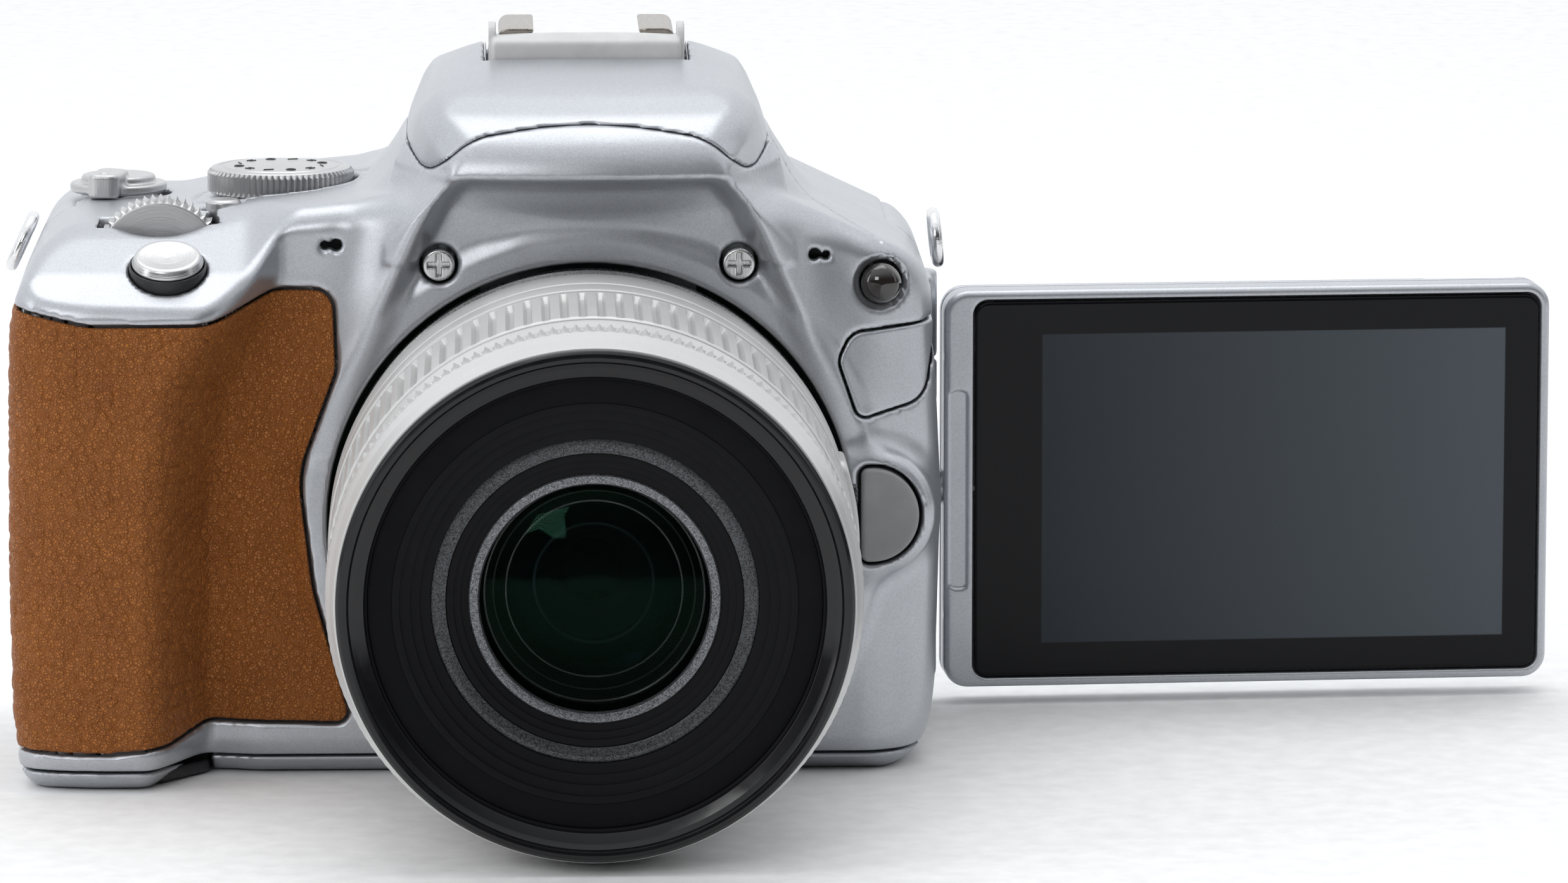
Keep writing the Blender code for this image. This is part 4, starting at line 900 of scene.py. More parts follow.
def lens_pieces():
    barrel = [
        (26.8, 46.3, 0.2), (31.4, 46.3, 0.3), (32.9, 47.6, 0.8), (33.5, 50.0, 3.0), (33.5, 57.9, 0.35),
        (33.1, 58.1, 0.1), (33.1, 58.5, 0.1), (33.45, 58.7, 0.2), (33.45, 63.9, 0.35), (30.2, 63.9, 0.1),
        (30.2, 83.4, 0.1), (28.8, 83.4, 0.1), (28.8, 49.0, 0.1), (26.8, 49.0, 0.1),
    ]
    put("lens", "lens_paint", turned("rear_barrel", barrel, ivory, LENS, 256), "lens_barrel")
    zoom = [
        (30.6, 64.1, 0.1), (33.2, 64.1, 0.35), (33.2, 64.9, 0.2), (33.25, 65.2, 0.2), (33.25, 86.0, 0.3),
        (33.0, 86.5, 0.2), (29.4, 86.5, 0.1), (29.4, 84.0, 0.1), (30.6, 84.0, 0.1),
    ]
    piece = turned("zoom_ring_ribbed", zoom, ivory, LENS, 1440, zoom_ribs, sharp=50)
    put("zoom_ring", "lens_paint", piece, "zoom_ring")
    focus = [
        (28.9, 86.8, 0.1), (33.0, 86.8, 0.35), (32.7, 88.6, 3.0), (32.35, 90.8, 3.0), (32.7, 91.8, 0.3),
        (33.25, 92.2, 0.25), (33.2, 98.6, 2.0), (32.6, 101.0, 6.0), (32.0, 104.6, 0.2), (30.95, 104.6, 0.1),
        (30.95, 97.1, 0.1), (28.9, 97.1, 0.1),
    ]
    piece = turned("focus_ring_toothed", focus, ivory, LENS, 1440, focus_teeth, sharp=50)
    put("focus_ring", "lens_paint", piece, "focus_ring")
    tube = [(26.4, 52.0, 0.2), (28.3, 52.0, 0.2), (28.3, 100.2, 0.2), (26.4, 100.2, 0.2)]
    put("front_barrel", "lens_paint", turned("inner_tube", tube, ivory, LENS, 180), "front_barrel")
    rim = [
        (28.7, 97.5, 0.1), (30.6, 97.5, 0.1), (30.6, 104.8, 0.05), (31.75, 104.8, 0.15), (31.8, 105.4, 0.15),
        (31.4, 105.8, 0.12), (30.9, 105.85, 0.15), (30.45, 105.75, 0.06), (30.2, 105.3, 0.1),
        (29.6, 104.9, 0.3), (28.4, 104.3, 0.15), (28.2, 103.9, 0.1), (28.2, 100.5, 0.1), (28.7, 100.5, 0.1),
    ]
    piece = turned("front_bezel", rim, gloss_black, LENS, 360, sharp=30)
    put("front_barrel", "gloss_black", piece, "front_rim")
    thread = [(28.25, 103.9, 0.02)]
    for turn in range(4):
        base = 103.7 - turn * 0.36
        thread += [(27.95, base, 0.02), (28.25, base - 0.18, 0.02)]
    thread += [(28.6, 102.0, 0.05), (28.6, 103.9, 0.05)]
    barrel_ring("filter_thread", thread, matte_black)
    face = [(24.9, 102.9, 0.1), (27.95, 103.1, 0.1), (27.95, 102.0, 0.1), (24.9, 102.0, 0.1)]
    barrel_ring("marking_ring", face, matte_black)
    steps = [(24.95, 103.0, 0.08)]
    radius = 24.9
    depth = 102.9
    for width, drop in (
        (0.9, 0.0), (0.0, 0.5), (1.3, 0.15), (0.0, 0.45), (1.2, 0.1), (0.0, 0.4), (1.3, 0.1), (0.0, 0.25),
    ):
        radius -= width
        depth -= drop
        steps.append((radius + 0.001, depth, 0.06))
    steps += [(radius, 100.0, 0.1), (24.95, 100.0, 0.1)]
    barrel_ring("stepped_ring", steps, step_grey, sharp=25)
    grey = [
        (18.35, 100.55, 0.08), (19.5, 100.75, 0.08), (20.2, 100.7, 0.1), (20.2, 99.6, 0.1),
        (18.35, 99.6, 0.1),
    ]
    barrel_ring("grey_glitter_ring", grey, sparkle)
    inner = [
        (15.6, 99.2, 0.08), (16.5, 99.3, 0.06), (16.5, 99.7, 0.06), (17.4, 99.8, 0.06), (17.4, 100.2, 0.06),
    ]
    inner += [(18.3, 100.3, 0.06), (18.3, 98.9, 0.1), (15.6, 98.7, 0.1)]
    barrel_ring("inner_steps", inner, step_grey, sharp=25)
    light = [
        (14.2, 98.9, 0.1), (14.4, 99.35, 0.12), (15.4, 99.45, 0.12), (15.6, 99.1, 0.1), (15.6, 98.3, 0.1),
        (14.2, 98.3, 0.1),
    ]
    barrel_ring("light_glitter_ring", light, bright_sparkle)
    dome = [
        (0.0, 95.0, 0.0), (14.15, 95.0, 0.1), (14.15, 98.35, 0.1), (12.0, 99.5, 10.0), (8.0, 100.8, 20.0),
        (4.0, 101.5, 20.0), (0.0, 101.7, 0.0),
    ]
    put(
        "front_barrel", "optical_glass", turned("front_glass", dome, front_glass, LENS, 180, sharp=60),
        "front_element",
    )
    second = [(0.0, 89.0, 0.0), (10.1, 89.6, 0.2), (10.1, 91.0, 0.2), (6.0, 92.4, 16.0), (0.0, 93.0, 0.0)]
    put("front_barrel", "optical_glass", turned("second_glass", second, inner_glass, LENS, 120, sharp=60))
    third = [(0.0, 84.4, 0.0), (6.2, 84.4, 0.2), (6.2, 85.4, 0.2), (3.5, 86.6, 8.0), (0.0, 87.0, 0.0)]
    put("front_barrel", "optical_glass", turned("third_glass", third, deep_glass, LENS, 96, sharp=60))
    cell = [(15.3, 94.6, 0.1), (14.3, 94.6, 0.1)]
    for radius, depth in (
        (12.9, 93.6), (12.9, 92.9), (11.7, 92.4), (11.7, 91.8), (10.2, 91.2), (10.2, 88.8), (8.6, 88.4),
        (8.6, 87.6), (6.3, 87.2), (6.3, 83.0),
    ):
        cell.append((radius, depth, 0.08))
    cell += [(26.0, 83.0, 0.2), (26.0, 94.6, 0.2)]
    barrel_ring("lens_cell", cell, matte_black, 180, sharp=25)
    for index, (radius, depth, finish) in enumerate(
        (
            (12.95, 93.8, spun_steel), (11.75, 92.5, spun_dark), (10.25, 91.3, spun_steel),
            (6.35, 87.4, spun_dark),
        )
    ):
        trim = [
            (radius, depth, 0.04), (radius + 0.28, depth, 0.04), (radius + 0.28, depth - 0.3, 0.04),
            (radius, depth - 0.3, 0.04),
        ]
        barrel_ring("cell_ring_%d" % index, trim, finish, 180)
    blades = [
        (2.6, 80.9, 0.05), (2.9, 81.15, 0.05), (3.7, 81.2, 0.05), (3.7, 81.35, 0.05), (26.1, 81.4, 0.1),
        (26.1, 80.0, 0.1), (2.6, 80.6, 0.05),
    ]

    def leaves(r, d, a):
        side = (a * 7 / (2 * math.pi)) % 1.0
        flat = np.cos(np.pi / 7) / np.cos((side - 0.5) * 2 * np.pi / 7)
        return np.where(r < 3.0, r * (0.9 + 0.1 * flat), r)

    put(
        "front_barrel", "black_plastic", turned("iris_leaves", blades, satin_black, LENS, 168, leaves),
        "iris",
    )
    rear = [
        (0.0, 53.5, 0.0), (12.0, 54.0, 1.0), (26.1, 54.0, 0.2), (26.1, 57.0, 0.2), (12.0, 57.0, 6.0),
        (0.0, 58.6, 0.0),
    ]
    put("lens", "optical_glass", turned("rear_glass", rear, eye_glass, LENS, 120, sharp=60), "rear_lens")
    bayonet = [
        (22.0, 38.2, 0.3), (24.2, 38.2, 0.3), (24.2, 44.3, 0.1), (31.6, 44.3, 0.2), (31.6, 46.0, 0.3),
        (22.0, 46.0, 0.2),
    ]
    put("lens", "steel", turned("bayonet_flange", bayonet, mount_steel, LENS, 180), "lens_bayonet")
    ring = [(26.6, 41.3, 0.1), (33.1, 41.3, 0.2), (33.1, 43.3, 0.3), (32.4, 44.0, 0.3), (26.6, 44.0, 0.3)]
    put("root", "steel", turned("mount_ring", ring, mount_steel, LENS, 180), "lens_mount_ring")
    g = Grid((28.5, -63.5, AXIS_Z - 14), (36, -50.5, AXIS_Z + 14), 0.16)
    rho = span(g.x, g.z - AXIS_Z)
    pad = meet(outline_field(g.y, g.z - AXIS_Z, PAD_OUTLINE), np.abs(rho - 33.1) - 1.0, 0.35)
    for z in (AXIS_Z + 4.6, AXIS_Z - 4.6):
        pad = cut(pad, box_field(g, (33.5, -60.0, z - 3.0), (40, -56.0, z + 3.0), 0.5), 0.15)
    put("lens", "lens_paint", shell_of("switch_pad", g, pad, ivory))
    for node, z in (("focus_mode_switch", AXIS_Z + 4.6), ("stabilizer_switch", AXIS_Z - 4.6)):
        g = Grid((30.5, -61, z - 2), (35.5, -55, z + 5), 0.1)
        knob = box_field(g, (31.9, -59.4, z + 0.3), (34.0, -56.6, z + 2.7), 0.3)
        knob = cut(knob, both(33.75 - g.x, np.abs((g.z - z - 0.3) % 0.6 - 0.3) - 0.12), 0.06)
        put(node, "black_plastic", shell_of(node.replace("switch", "slider"), g, knob, satin_black), node)


# ---------------------------------------------------------------- controls and trim


def knurl(teeth, depth, outer, low, high):
    """Shape function for a turned piece: triangular teeth round its rim between two heights."""

    def shape(r, h, a):
        phase = (a * teeth / (2 * math.pi)) % 1.0
        tooth = 1 - np.abs(phase - 0.5) * 2
        return r - depth * (1 - tooth) * ease(r, outer - 1.2, outer - 0.5) * band(h, low, high, 0.25)

    return shape


def release_shape(g, gap=0.0):
    """D-shaped outline of the lens release button, flat on its left."""
    x, _, z = RELEASE_AT
    disc = span(g.x - x, g.z - z) - 6.1
    return meet(disc, (x - 1.4) - g.x, 0.8) - gap


def shoulder(g, at, radius, top, bottom, round_edge):
    """Upright disc between two heights."""
    disc = span(g.x - at[0], g.y - at[1]) - radius
    return meet(disc, np.abs(g.z - (top + bottom) / 2) - (top - bottom) / 2, round_edge)


def top_controls():
    at = facing((MODE_AT[0], MODE_AT[1], MODE_FLOOR + 0.3), (0, 0, 1))
    side = [
        (0.0, 0.0, 0.0), (9.2, 0.0, 0.2), (9.65, 0.3, 0.15), (9.65, 2.7, 0.2), (9.1, 3.3, 0.3),
        (8.3, 3.5, 0.2), (8.1, 3.35, 0.1), (7.7, 3.35, 0.1), (7.5, 3.5, 0.1), (0.0, 3.65, 0.0),
    ]
    piece = turned(
        "mode_dial_knurled", side, spun_metal_silver, at, 864, knurl(72, 0.55, 9.65, 0.4, 2.7), sharp=40,
    )
    put("mode_dial", "silver_paint", piece, "mode_dial")
    for index in range(12):
        angle = math.radians(30 * index + 15)
        marks = Grid((-0.9, -0.9, -0.2), (0.9, 0.9, 0.3), 0.06)
        if index % 3 == 0:
            form = np.abs(span(marks.x, marks.y) - 0.55) - 0.12
        elif index % 3 == 1:
            form = both(np.abs(np.abs(marks.x) - 0.3) - 0.1, np.abs(marks.y) - 0.55)
        else:
            form = both(np.abs(marks.x + marks.y * 0.6) - 0.12, np.abs(marks.y) - 0.6)
        spot = at @ Matrix.Rotation(angle, 4, "Z") @ Matrix.Translation((5.6, 0, 3.57))
        form = both(form, np.abs(marks.z) - 0.09)
        put("mode_dial", "black_plastic", shell_of("mode_mark_%d" % index, marks, form, print_black, spot))

    at = facing(MAIN_AT, (0, 1, 0))
    wheel = [
        (0.0, -2.8, 0.0), (7.9, -2.8, 0.3), (8.65, -2.1, 0.3), (8.65, 2.1, 0.3), (7.9, 2.8, 0.3),
        (0.0, 2.8, 0.0),
    ]
    piece = turned(
        "main_dial_toothed", wheel, spun_metal_silver, at, 600, knurl(50, 0.75, 8.65, -2.3, 2.3), sharp=40,
    )
    put("main_dial", "silver_paint", piece, "main_dial")

    x, y, _ = POWER_AT
    g = Grid((x - 8, y - 10, 71.0), (x + 8, y + 8, 76.2), 0.16)
    form = shoulder(g, POWER_AT, 6.4, 73.0, 71.75, 0.4)
    tab = outline_field(
        g.x - x, g.y - y, [(-3.9, -8.6, 1.4), (0.2, -8.9, 1.4), (1.6, -2.0, 1.5), (-2.4, 0.5, 1.5)],
    )
    form = join(form, meet(tab, np.abs(g.z - 73.3) - 1.6, 0.5), 0.8)
    form = join(form, shoulder(g, POWER_AT, 4.9, 74.0, 72.0, 0.5), 0.4)
    dot = span(g.x - x + 1.6, g.y - y + 6.6) - 0.55
    form = cut(form, both(dot, 74.6 - g.z), 0.1)
    put("power_switch", "silver_paint", shell_of("power_lever", g, form, spun_metal_silver), "power_switch")
    spot = facing((x - 1.6, y - 6.6, 74.55), (0, 0, 1))
    disc = [(0.0, 0.0, 0.0), (0.5, 0.0, 0.05), (0.5, 0.25, 0.05), (0.0, 0.28, 0.0)]
    put("power_switch", "black_plastic", turned("power_dot", disc, print_white, spot, 32))

    key = [(0.0, -4.0, 0.0), (2.3, -4.0, 0.2), (2.3, 0.2, 0.35), (1.9, 0.6, 0.4), (0.0, 0.45, 0.0)]
    put(
        "iso_button", "silver_paint",
        turned("iso_key", key, spun_metal_silver, facing(ISO_AT, (0, 0, 1)), 96), "iso_button",
    )

    at = facing(SHUTTER_AT, SHUTTER_AXIS)
    key = [
        (0.0, -3.6, 0.0), (4.6, -3.6, 0.2), (4.6, 0.6, 0.3), (4.2, 1.5, 0.5), (3.7, 1.55, 0.3),
        (2.0, 1.3, 6.0), (0.0, 1.2, 0.0),
    ]
    put("shutter_button", "steel", turned("shutter_key", key, spun_steel, at, 180), "shutter_button")
    ring = [(4.72, -2.0, 0.1), (4.95, -2.0, 0.1), (4.95, 0.3, 0.1), (4.72, 0.3, 0.1)]
    put("root", "black_plastic", turned("shutter_gap_ring", ring, satin_black, at, 128))


def front_trim():
    g = Grid((30, -48, 26), (46, -33, 43), 0.2)
    form = meet(release_shape(g), np.abs(g.y + 40.6) - 4.3, 0.6)
    dish = np.sqrt((g.x - 39.0) ** 2 + (g.z - 34.7) ** 2 + (g.y + 68.0) ** 2) - 23.5
    form = cut(form, dish, 0.5)
    put(
        "lens_release_button", "grey_plastic", shell_of("release_key", g, form, grey_plastic),
        "lens_release_button",
    )
    for side, x in (("left", -SCREW_X), ("right", SCREW_X)):
        g = Grid((x - 3, -47, SCREW_Z - 3), (x + 3, -36, SCREW_Z + 3), 0.1)
        away = span(g.x - x, g.z - SCREW_Z)
        form = meet(away - 2.05, np.abs(g.y + 40.3) - 3.2, 0.35)
        u = np.abs(g.x - x)
        v = np.abs(g.z - SCREW_Z)
        cross = np.minimum(both(u - 1.45, v - 0.33), both(v - 1.45, u - 0.33))
        form = cut(form, both(cross, g.y + 42.3), 0.1)
        put("root", "steel", shell_of("cross_screw_" + side, g, form, spun_steel), "front_screw_" + side)
    x, _, z = LAMP_AT
    lens = [
        (0.0, 0.0, 0.0), (2.6, 0.0, 0.1), (2.6, 6.6, 0.3), (2.2, 7.6, 1.2), (1.2, 8.3, 3.0), (0.0, 8.5, 0.0),
    ]
    put(
        "root", "gloss_black", turned("lamp_dome", lens, lamp_glass, facing((x, -34.0, z), (0, -1, 0)), 96),
        "lamp_window",
    )
    for side, x, lean in (("left", -76.0, 2.8), ("right", 46.7, -0.6)):
        arc = arcs([(-9, 62.6, 2.4), (-1, 62.6, 2.4), (-1, 68.6, 2.9), (-9, 68.6, 2.9)], 12)
        points = [(x + lean * (z - 62.6) / 6.0, y, z) for y, z in arc]
        put("root", "chrome", wire("strap_wire_" + side, points, 0.8, chrome), "strap_lug_" + side)
    plug = [
        (0.0, 29.0, 0.0), (3.4, 29.0, 0.2), (3.4, 35.4, 0.3), (3.0, 36.0, 0.3), (2.6, 36.0, 0.1),
        (2.6, 33.4, 0.1), (0.0, 33.4, 0.0),
    ]
    put(
        "root", "black_plastic",
        turned("jack_socket", plug, satin_black, facing((38.4, 0, 52.5), (0, -1, 0)), 96), "terminal_jacks",
    )
    thread = [(5.5, 0.3, 0.2), (5.5, 9.0, 0.1), (3.2, 9.0, 0.1)]
    for turn in range(10):
        height = 8.6 - turn * 0.79
        thread += [(3.2, height, 0.03), (2.75, height - 0.4, 0.03)]
    thread += [(3.3, 0.6, 0.05), (3.7, 0.3, 0.1)]
    put(
        "root", "steel",
        turned("tripod_thread", thread, spun_steel, facing((0, -20, 0), (0, 0, 1)), 96, sharp=30),
        "tripod_socket",
    )


def hot_shoe():
    g = Grid((-13.8, -22.4, 88.4), (13.8, 1.8, 96.6), 0.17)
    base = box_field(g, (-12.9, -21.0, 88.9), (12.9, 0.5, 91.0), 0.3)
    nose = outline_field(
        g.y, g.z,
        [(-21.3, 89.2, 0.3), (-15.4, 89.2, 0.3), (-15.4, 94.2, 0.6), (-19.2, 94.9, 0.9), (-21.3, 93.6, 0.8)],
    )
    crown = g.z - 94.8 + (g.x / 12.3) ** 2 * 0.6
    nose = meet(meet(nose, np.abs(g.x) - 12.3, 0.5), crown, 0.5)
    post = outline_field(
        g.y, g.z, [(-20.6, 90.0, 0.3), (-15.6, 90.0, 0.3), (-15.6, 95.9, 1.0), (-19.6, 95.9, 1.8)],
    )
    post = both(post, np.abs(np.abs(g.x) - 12.3) - 0.5)
    form = join(join(base, nose, 0.4), post, 0.2)
    put("root", "grey_plastic", shell_of("shoe_housing", g, form, shoe_grey), "hot_shoe_base")
    g = Grid((-12, -18.4, 90.4), (12, 0.4, 95.6), 0.14)
    section = [
        (-11.5, 91.05), (11.5, 91.05), (11.5, 95.0), (6.9, 95.0), (6.9, 94.4), (10.8, 94.4), (10.8, 91.75),
    ]
    section += [(-10.8, 91.75), (-10.8, 94.4), (-6.9, 94.4), (-6.9, 95.0), (-11.5, 95.0)]
    corners = [(u, v, 1.3 if v > 94.9 and abs(u) > 11 else 0.3) for u, v in section]
    form = meet(outline_field(g.x, g.z, corners), np.abs(g.y + 8.85) - 8.65, 0.12)
    tab = outline_field(
        np.abs(g.x), g.z, [(7.6, 91.4, 0.2), (11.5, 91.4, 0.2), (11.5, 95.0, 1.3), (7.6, 95.0, 0.2)],
    )
    form = join(form, both(tab, np.abs(g.y + 17.1) - 0.5), 0.2)
    for x, y in ((-4.4, -12.4), (4.4, -12.4), (-4.4, -3.0), (4.4, -3.0)):
        dimple = span(g.x - x, g.y - y) - 0.9
        form = cut(form, both(dimple, 91.5 - g.z), 0.1)
    put("root", "steel", shell_of("shoe_rails", g, form, rail_steel), "hot_shoe_rails")
    for index, (x, y, radius) in enumerate(
        ((0, -9.0, 1.2), (-3.6, -6.4, 0.8), (3.6, -6.4, 0.8), (-3.6, -11.2, 0.8))
    ):
        pin = [
            (0.0, -0.6, 0.0), (radius, -0.6, 0.1), (radius, 0.1, 0.1), (radius * 0.6, 0.22, 0.1),
            (0.0, 0.24, 0.0),
        ]
        put(
            "root", "steel",
            turned("shoe_contact_%d" % index, pin, spun_steel, facing((x, y, 91.75), (0, 0, 1)), 48),
        )


def flash_pieces():
    put("flash_head", "silver_paint", flash_shell(), "flash_head")
    g = Grid((-13, -48, 78.5), (13, -37, 88), 0.16)
    window = outline_field(
        g.y, g.z, [(-46.6, 84.6, 0.3), (-40.2, 79.6, 0.3), (-38.8, 81.4, 0.3), (-45.2, 86.4, 0.3)],
    )
    ribs = 0.16 * np.abs(np.sin(g.x * 2.6))
    form = meet(window + ribs, np.abs(g.x) - 12.0, 0.4)
    put("flash_head", "flash_diffuser", shell_of("flash_lens", g, form, diffuser), "flash_window")


# ---------------------------------------------------------------- screen


SCREEN = Matrix.Translation(Vector(HINGE)) @ Matrix.Rotation(math.radians(SCREEN_YAW), 4, "Z")


def screen_pieces():
    start = SCREEN_START
    end = SCREEN_START + SCREEN_WIDTH
    half = SCREEN_HEIGHT / 2
    thick = SCREEN_THICK / 2
    g = Grid((start - 1, -thick - 1, -half - 1), (end + 1, thick + 1, half + 1), 0.26)
    outline = [(start, -half, 3.2), (end, -half, 3.2), (end, half, 3.2), (start, half, 3.2)]
    panel = outline_field(g.x, g.z, outline)
    front = meet(panel, np.abs(g.y + 1.1) - 2.5, 0.9)
    front = both(front, g.y - 1.3)
    inset = outline_field(
        g.x, g.z,
        [
            (start + 3.9, -half + 1.3, 1.9), (end - 1.3, -half + 1.3, 1.9), (end - 1.3, half - 1.3, 1.9),
            (start + 3.9, half - 1.3, 1.9),
        ],
    )
    front = cut(front, both(inset, g.y + thick - 1.3), 0.25)
    strip = meet(np.abs(g.x - start - 1.9) - 1.2, np.abs(g.z) - 13.5, 0.8)
    front = cut(front, both(strip, g.y + thick - 0.3), 0.2)
    stub = both(span(g.y, g.z) - 2.3, g.x - 9.4)
    front = both(front, -stub)
    put("screen", "silver_paint", shell_of("screen_frame", g, front, silver, SCREEN), "lcd_frame")
    rear = meet(panel, np.abs(g.y - 1.1) - 2.5, 1.0)
    rear = both(rear, 1.5 - g.y)
    grip = meet(np.abs(g.x - end + 10) - 6.0, np.abs(np.abs(g.z) - half + 0.4) - 1.4, 0.8)
    rear = cut(rear, both(grip, thick - 1.1 - g.y), 0.4)
    frame_line = both(np.abs(inset + 3.0) - 0.25, thick - 0.3 - g.y)
    rear = both(cut(rear, frame_line, 0.1), -stub)
    put("screen", "silver_paint", shell_of("screen_back", g, rear, silver, SCREEN), "lcd_back")
    g = Grid((start + 3.4, -thick - 0.4, -half + 0.8), (end - 0.8, -thick + 1.8, half - 0.8), 0.2)
    pane = outline_field(
        g.x, g.z,
        [
            (start + 4.15, -half + 1.55, 1.75), (end - 1.55, -half + 1.55, 1.75),
            (end - 1.55, half - 1.55, 1.75), (start + 4.15, half - 1.55, 1.75),
        ],
    )
    pane = meet(pane, np.abs(g.y + thick - 0.62) - 0.56, 0.22)
    put("screen", "screen_glass", shell_of("screen_pane", g, pane, screen_glass, SCREEN), "lcd_glass")
    g = Grid((-4, -4, -22.6), (10, 4, 22.6), 0.2)
    barrel = rod_field(g, (0, 0, -17.5), (0, 0, 17.5), 2.9, 0.5)
    for z in (-12.0, -6.0, 6.0, 12.0):
        groove = both(2.7 - span(g.x, g.y), np.abs(g.z - z) - 0.16)
        barrel = cut(barrel, groove, 0.08)
    form = join(barrel, rod_field(g, (0, 0, 0), (8.6, 0, 0), 2.0, 0.3), 0.8)
    form = np.minimum(form, rod_field(g, (0, 0, -21.5), (0, 0, 21.5), 1.0, 0.2))
    put("screen_hinge", "silver_paint", shell_of("hinge_barrel", g, form, silver, SCREEN), "lcd_hinge_block")


# ---------------------------------------------------------------- rear and inside


def rear_pieces():
    g = Grid((-20, 13.0, 65), (20, 20, 89), 0.22)
    pad = box_field(g, (-18.5, 13.9, 66.6), (18.5, 18.6, 87.4), 2.2)
    lens = box_field(g, (-11.0, 5.0, 70.6), (11.0, 30.0, 84.0), 2.4)
    cup = cut(pad, lens, 1.2)
    lip = np.abs(box_field(g, (-14.6, 5.0, 68.4), (14.6, 30.0, 86.0), 3.0)) - 0.4
    cup = cut(cup, both(lip, 17.9 - g.y), 0.3)
    put("root", "rubber", shell_of("eye_pad", g, cup, rubber), "eyecup")
    g = Grid((-11.5, 8.4, 70), (11.5, 12.4, 84.6), 0.2)
    swell = g.y - 11.4 + (g.x / 11) ** 2 * 0.5 + ((g.z - 77.3) / 7) ** 2 * 0.4
    lens = meet(box_field(g, (-10.8, 9.0, 70.6), (10.8, 12.0, 84.0), 0.8), swell, 0.1)
    put("root", "optical_glass", shell_of("eyepiece_pane", g, lens, eye_glass), "eyepiece_lens")
    wheel = [(0.0, -2.4, 0.0), (2.2, -2.4, 0.2), (2.2, 2.6, 0.3), (1.8, 3.0, 0.3), (0.0, 2.9, 0.0)]
    at = facing((21.4, 12.0, 77.0), (0, 1, 0))
    put(
        "diopter_dial", "black_plastic",
        turned("diopter_wheel", wheel, satin_black, at, 192, knurl(24, 0.25, 2.2, -1, 2.4)), "diopter_dial",
    )
    for node, (x, z, radius) in REAR_BUTTONS.items():
        low = 6.5 if x < -45 else 9.5
        high = REAR_Y + 0.9
        key = [
            (0.0, low, 0.0), (radius, low, 0.2), (radius, high - 0.35, 0.4), (radius - 0.7, high, 0.5),
            (0.0, high + 0.15, 0.0),
        ]
        piece = turned(node.replace("button", "key"), key, satin_black, facing((x, 0, z), (0, 1, 0)), 96)
        put(node, "black_plastic", piece, node)
        ring = [
            (radius * 0.42, high + 0.02, 0.05), (radius * 0.55, high + 0.02, 0.05),
            (radius * 0.55, high + 0.2, 0.05), (radius * 0.42, high + 0.2, 0.05),
        ]
        put(
            node, "black_plastic",
            turned(node.replace("button", "mark"), ring, print_white, facing((x, 0, z), (0, 1, 0)), 48),
        )
    at = facing(KEYS_AT, (0, 1, 0))
    section = [
        (4.3, 0.0, 0.1), (KEYS_RADIUS, 0.0, 0.2), (KEYS_RADIUS, 1.5, 0.5), (8.4, 2.2, 0.6), (6.4, 1.9, 3.0),
        (4.6, 2.1, 0.3), (4.3, 1.8, 0.2),
    ]

    def four_ways(r, h, a):
        return r - 0.35 * (0.5 - 0.5 * np.cos(a * 4)) * ease(r, 8.6, 9.2)

    put(
        "cross_keys", "black_plastic", turned("rocker_ring", section, satin_black, at, 256, four_ways),
        "cross_keys",
    )
    for index in range(4):
        spot = at @ Matrix.Rotation(math.radians(90 * index), 4, "Z") @ Matrix.Translation((6.9, 0, 2.06))
        m = Grid((-1, -1.2, -0.3), (1, 1.2, 0.4), 0.06)
        arrow = outline_field(m.x, m.y, [(-0.5, -0.75, 0.05), (0.55, 0.0, 0.05), (-0.5, 0.75, 0.05)])
        piece = shell_of("rocker_mark_%d" % index, m, both(arrow, np.abs(m.z) - 0.12), print_white, spot)
        put("cross_keys", "black_plastic", piece)
    key = [(0.0, -3.6, 0.0), (3.7, -3.6, 0.2), (3.7, 1.6, 0.4), (3.1, 2.1, 0.5), (0.0, 1.8, 0.0)]
    put("set_button", "black_plastic", turned("set_key", key, satin_black, at, 128), "set_button")
    g = Grid((-73, -47, -0.6), (-48, -9, 2.6), 0.2)
    door = meet(outline_field(g.x, g.y, DOOR_MOUTH), np.abs(g.z - 1.075) - 0.825, 0.4)
    ribs = both(np.abs(g.x + 53.0) - 1.9, np.abs(g.y + 27.7) - 6.0, np.abs(g.y % 1.4 - 0.7) - 0.3)
    door = cut(door, both(ribs, g.z - 0.6), 0.12)
    door = both(door, front_depth(g.x, 4.0) + 1.6 - g.y)
    put("battery_door", "black_plastic", shell_of("battery_flap", g, door, satin_black), "battery_door")


INSIDE = {
    "mirror_box": matte_black,
    "shutter_unit": matte_black,
    "battery": dark_grey,
    "memory_card": dark_grey,
    "focusing_screen": print_white,
    "pentamirror": mirror_coat,
    "mirror": mirror_coat,
    "sensor": inner_glass,
    "main_board": board_green,
}


def inside():
    """CAD parts that stay as they are get a finish of their own."""
    for node, finish in INSIDE.items():
        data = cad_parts[node].data
        data.materials.clear()
        data.materials.append(finish)


# ---------------------------------------------------------------- studio


def softbox(name, at, target, size, power):
    data = bpy.data.lights.new(name, "AREA")
    data.shape = "RECTANGLE"
    data.size, data.size_y = size
    data.energy = power
    item = bpy.data.objects.new(name, data)
    bpy.context.collection.objects.link(item)
    item.location = at
    item.rotation_euler = (Vector(target) - Vector(at)).to_track_quat("-Z", "Y").to_euler()


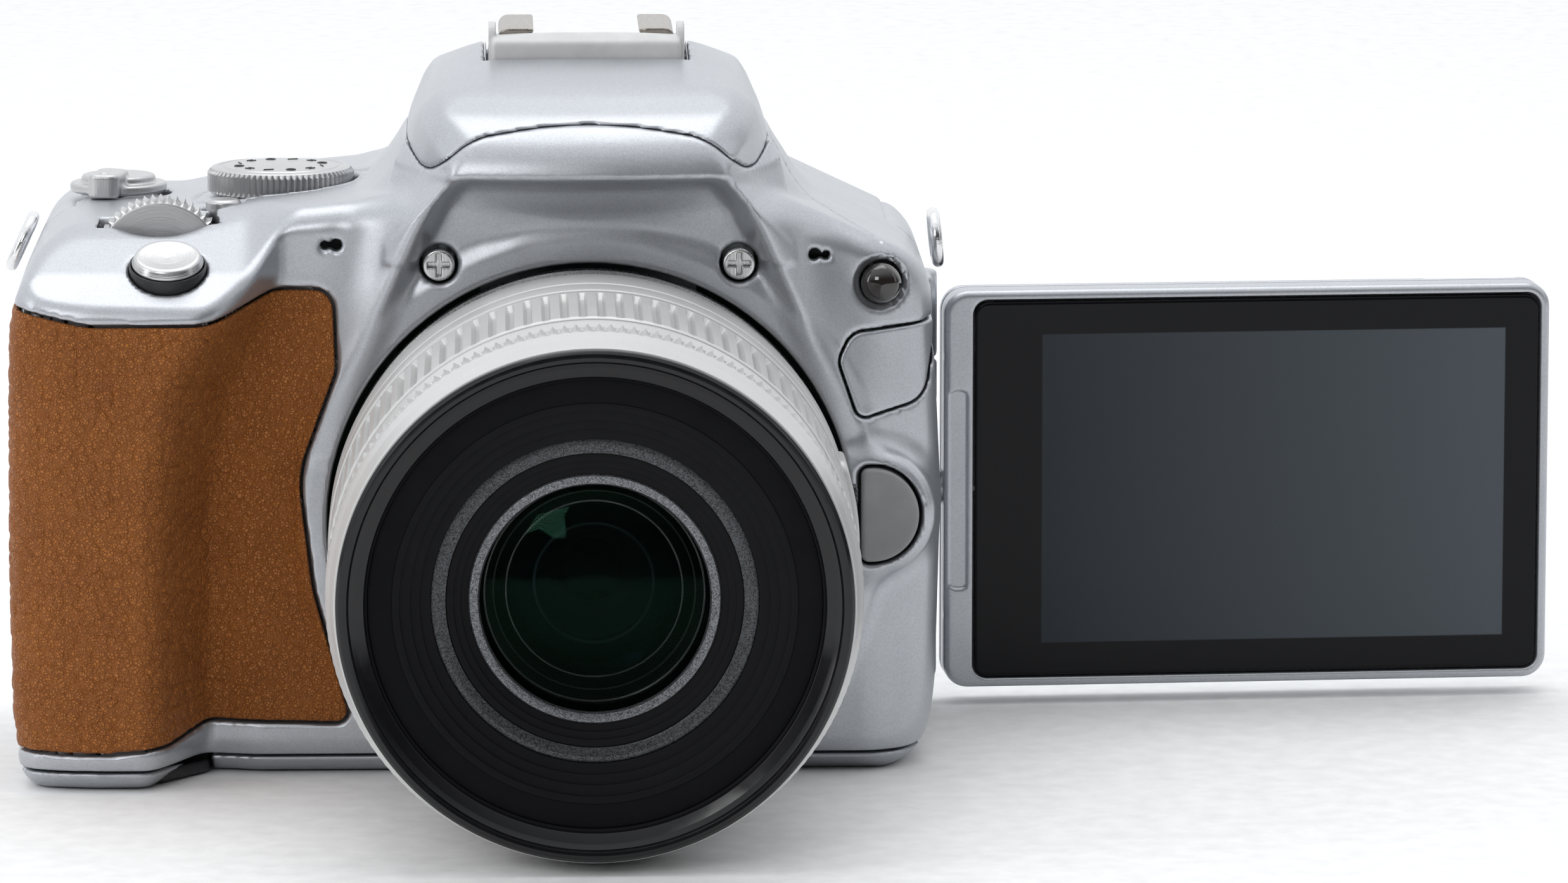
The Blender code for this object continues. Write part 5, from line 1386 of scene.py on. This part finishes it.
def studio():
    bpy.context.scene.view_settings.view_transform = "Standard"
    world = bpy.data.worlds.new("studio")
    bpy.context.scene.world = world
    world.use_nodes = True
    nodes = world.node_tree.nodes
    links = world.node_tree.links
    direction = nodes.new("ShaderNodeTexCoord").outputs["Generated"]
    tilt = nodes.new("ShaderNodeVectorMath")
    tilt.operation = "DOT_PRODUCT"
    tilt.inputs[1].default_value = (-0.16, 0.49, 0.86)
    links.new(direction, tilt.inputs[0])
    fade = nodes.new("ShaderNodeMapRange")
    fade.interpolation_type = "SMOOTHSTEP"
    for socket, value in zip(("From Min", "From Max", "To Min", "To Max"), (-0.20, 0.62, 0.07, 1.12)):
        fade.inputs[socket].default_value = value
    links.new(tilt.outputs["Value"], fade.inputs["Value"])
    links.new(fade.outputs["Result"], nodes["Background"].inputs["Strength"])
    nodes["Background"].inputs["Color"].default_value = (0.96, 0.98, 1.0, 1.0)
    softbox("top_box", (-0.05, 0.25, 1.25), (0, 0.1, 0.0), (1.0, 0.9), 4.5)
    softbox("left_box", (-1.25, -0.55, 0.5), (0, -0.03, 0.05), (0.30, 0.9), 2.6)
    softbox("right_box", (1.3, -0.4, 0.55), (0, -0.03, 0.05), (0.30, 0.9), 0.8)
    softbox("front_box", (-0.46, -1.15, 0.62), (0, -0.03, 0.04), (0.42, 0.34), 2.4)
    floor = moulded("pale_floor", (0.93, 0.93, 0.93), 0.8, 0.004, 0.0)
    size = 6000.0
    points = [(-size, -size, 0), (size, -size, 0), (size, size, 0), (-size, size, 0)]
    mesh_of("floor", np.array(points), [(0, 1, 2, 3)], floor)
    camera = bpy.data.objects.new("camera", bpy.data.cameras.new("camera"))
    bpy.context.collection.objects.link(camera)
    camera.location = (-0.01183, -1.18547, 0.22523)
    camera.rotation_euler = (math.radians(81), 0, math.radians(-1.85))
    camera.data.sensor_width = 36
    camera.data.lens = 205.96
    camera.data.clip_start = 0.01
    bpy.context.scene.camera = camera


def put(body, slot, piece, *nodes):
    """A piece rides on a body and stands for CAD nodes, which it hides; the slot is not used."""
    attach(piece, body)
    if nodes:
        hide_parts(*nodes)


def main():
    studio()
    put("root", "silver_paint", upper_shell(), "front_cover", "top_cover")
    put("root", "silver_paint", rear_shell(), "rear_cover")
    put("root", "silver_paint", base_plate(), "bottom_cover")
    put("root", "grip_skin", grip_skin(), "grip_leather")
    put("terminal_cover", "silver_paint", terminal_door(), "terminal_cover")
    lens_pieces()
    top_controls()
    front_trim()
    hot_shoe()
    flash_pieces()
    screen_pieces()
    rear_pieces()
    inside()


main()
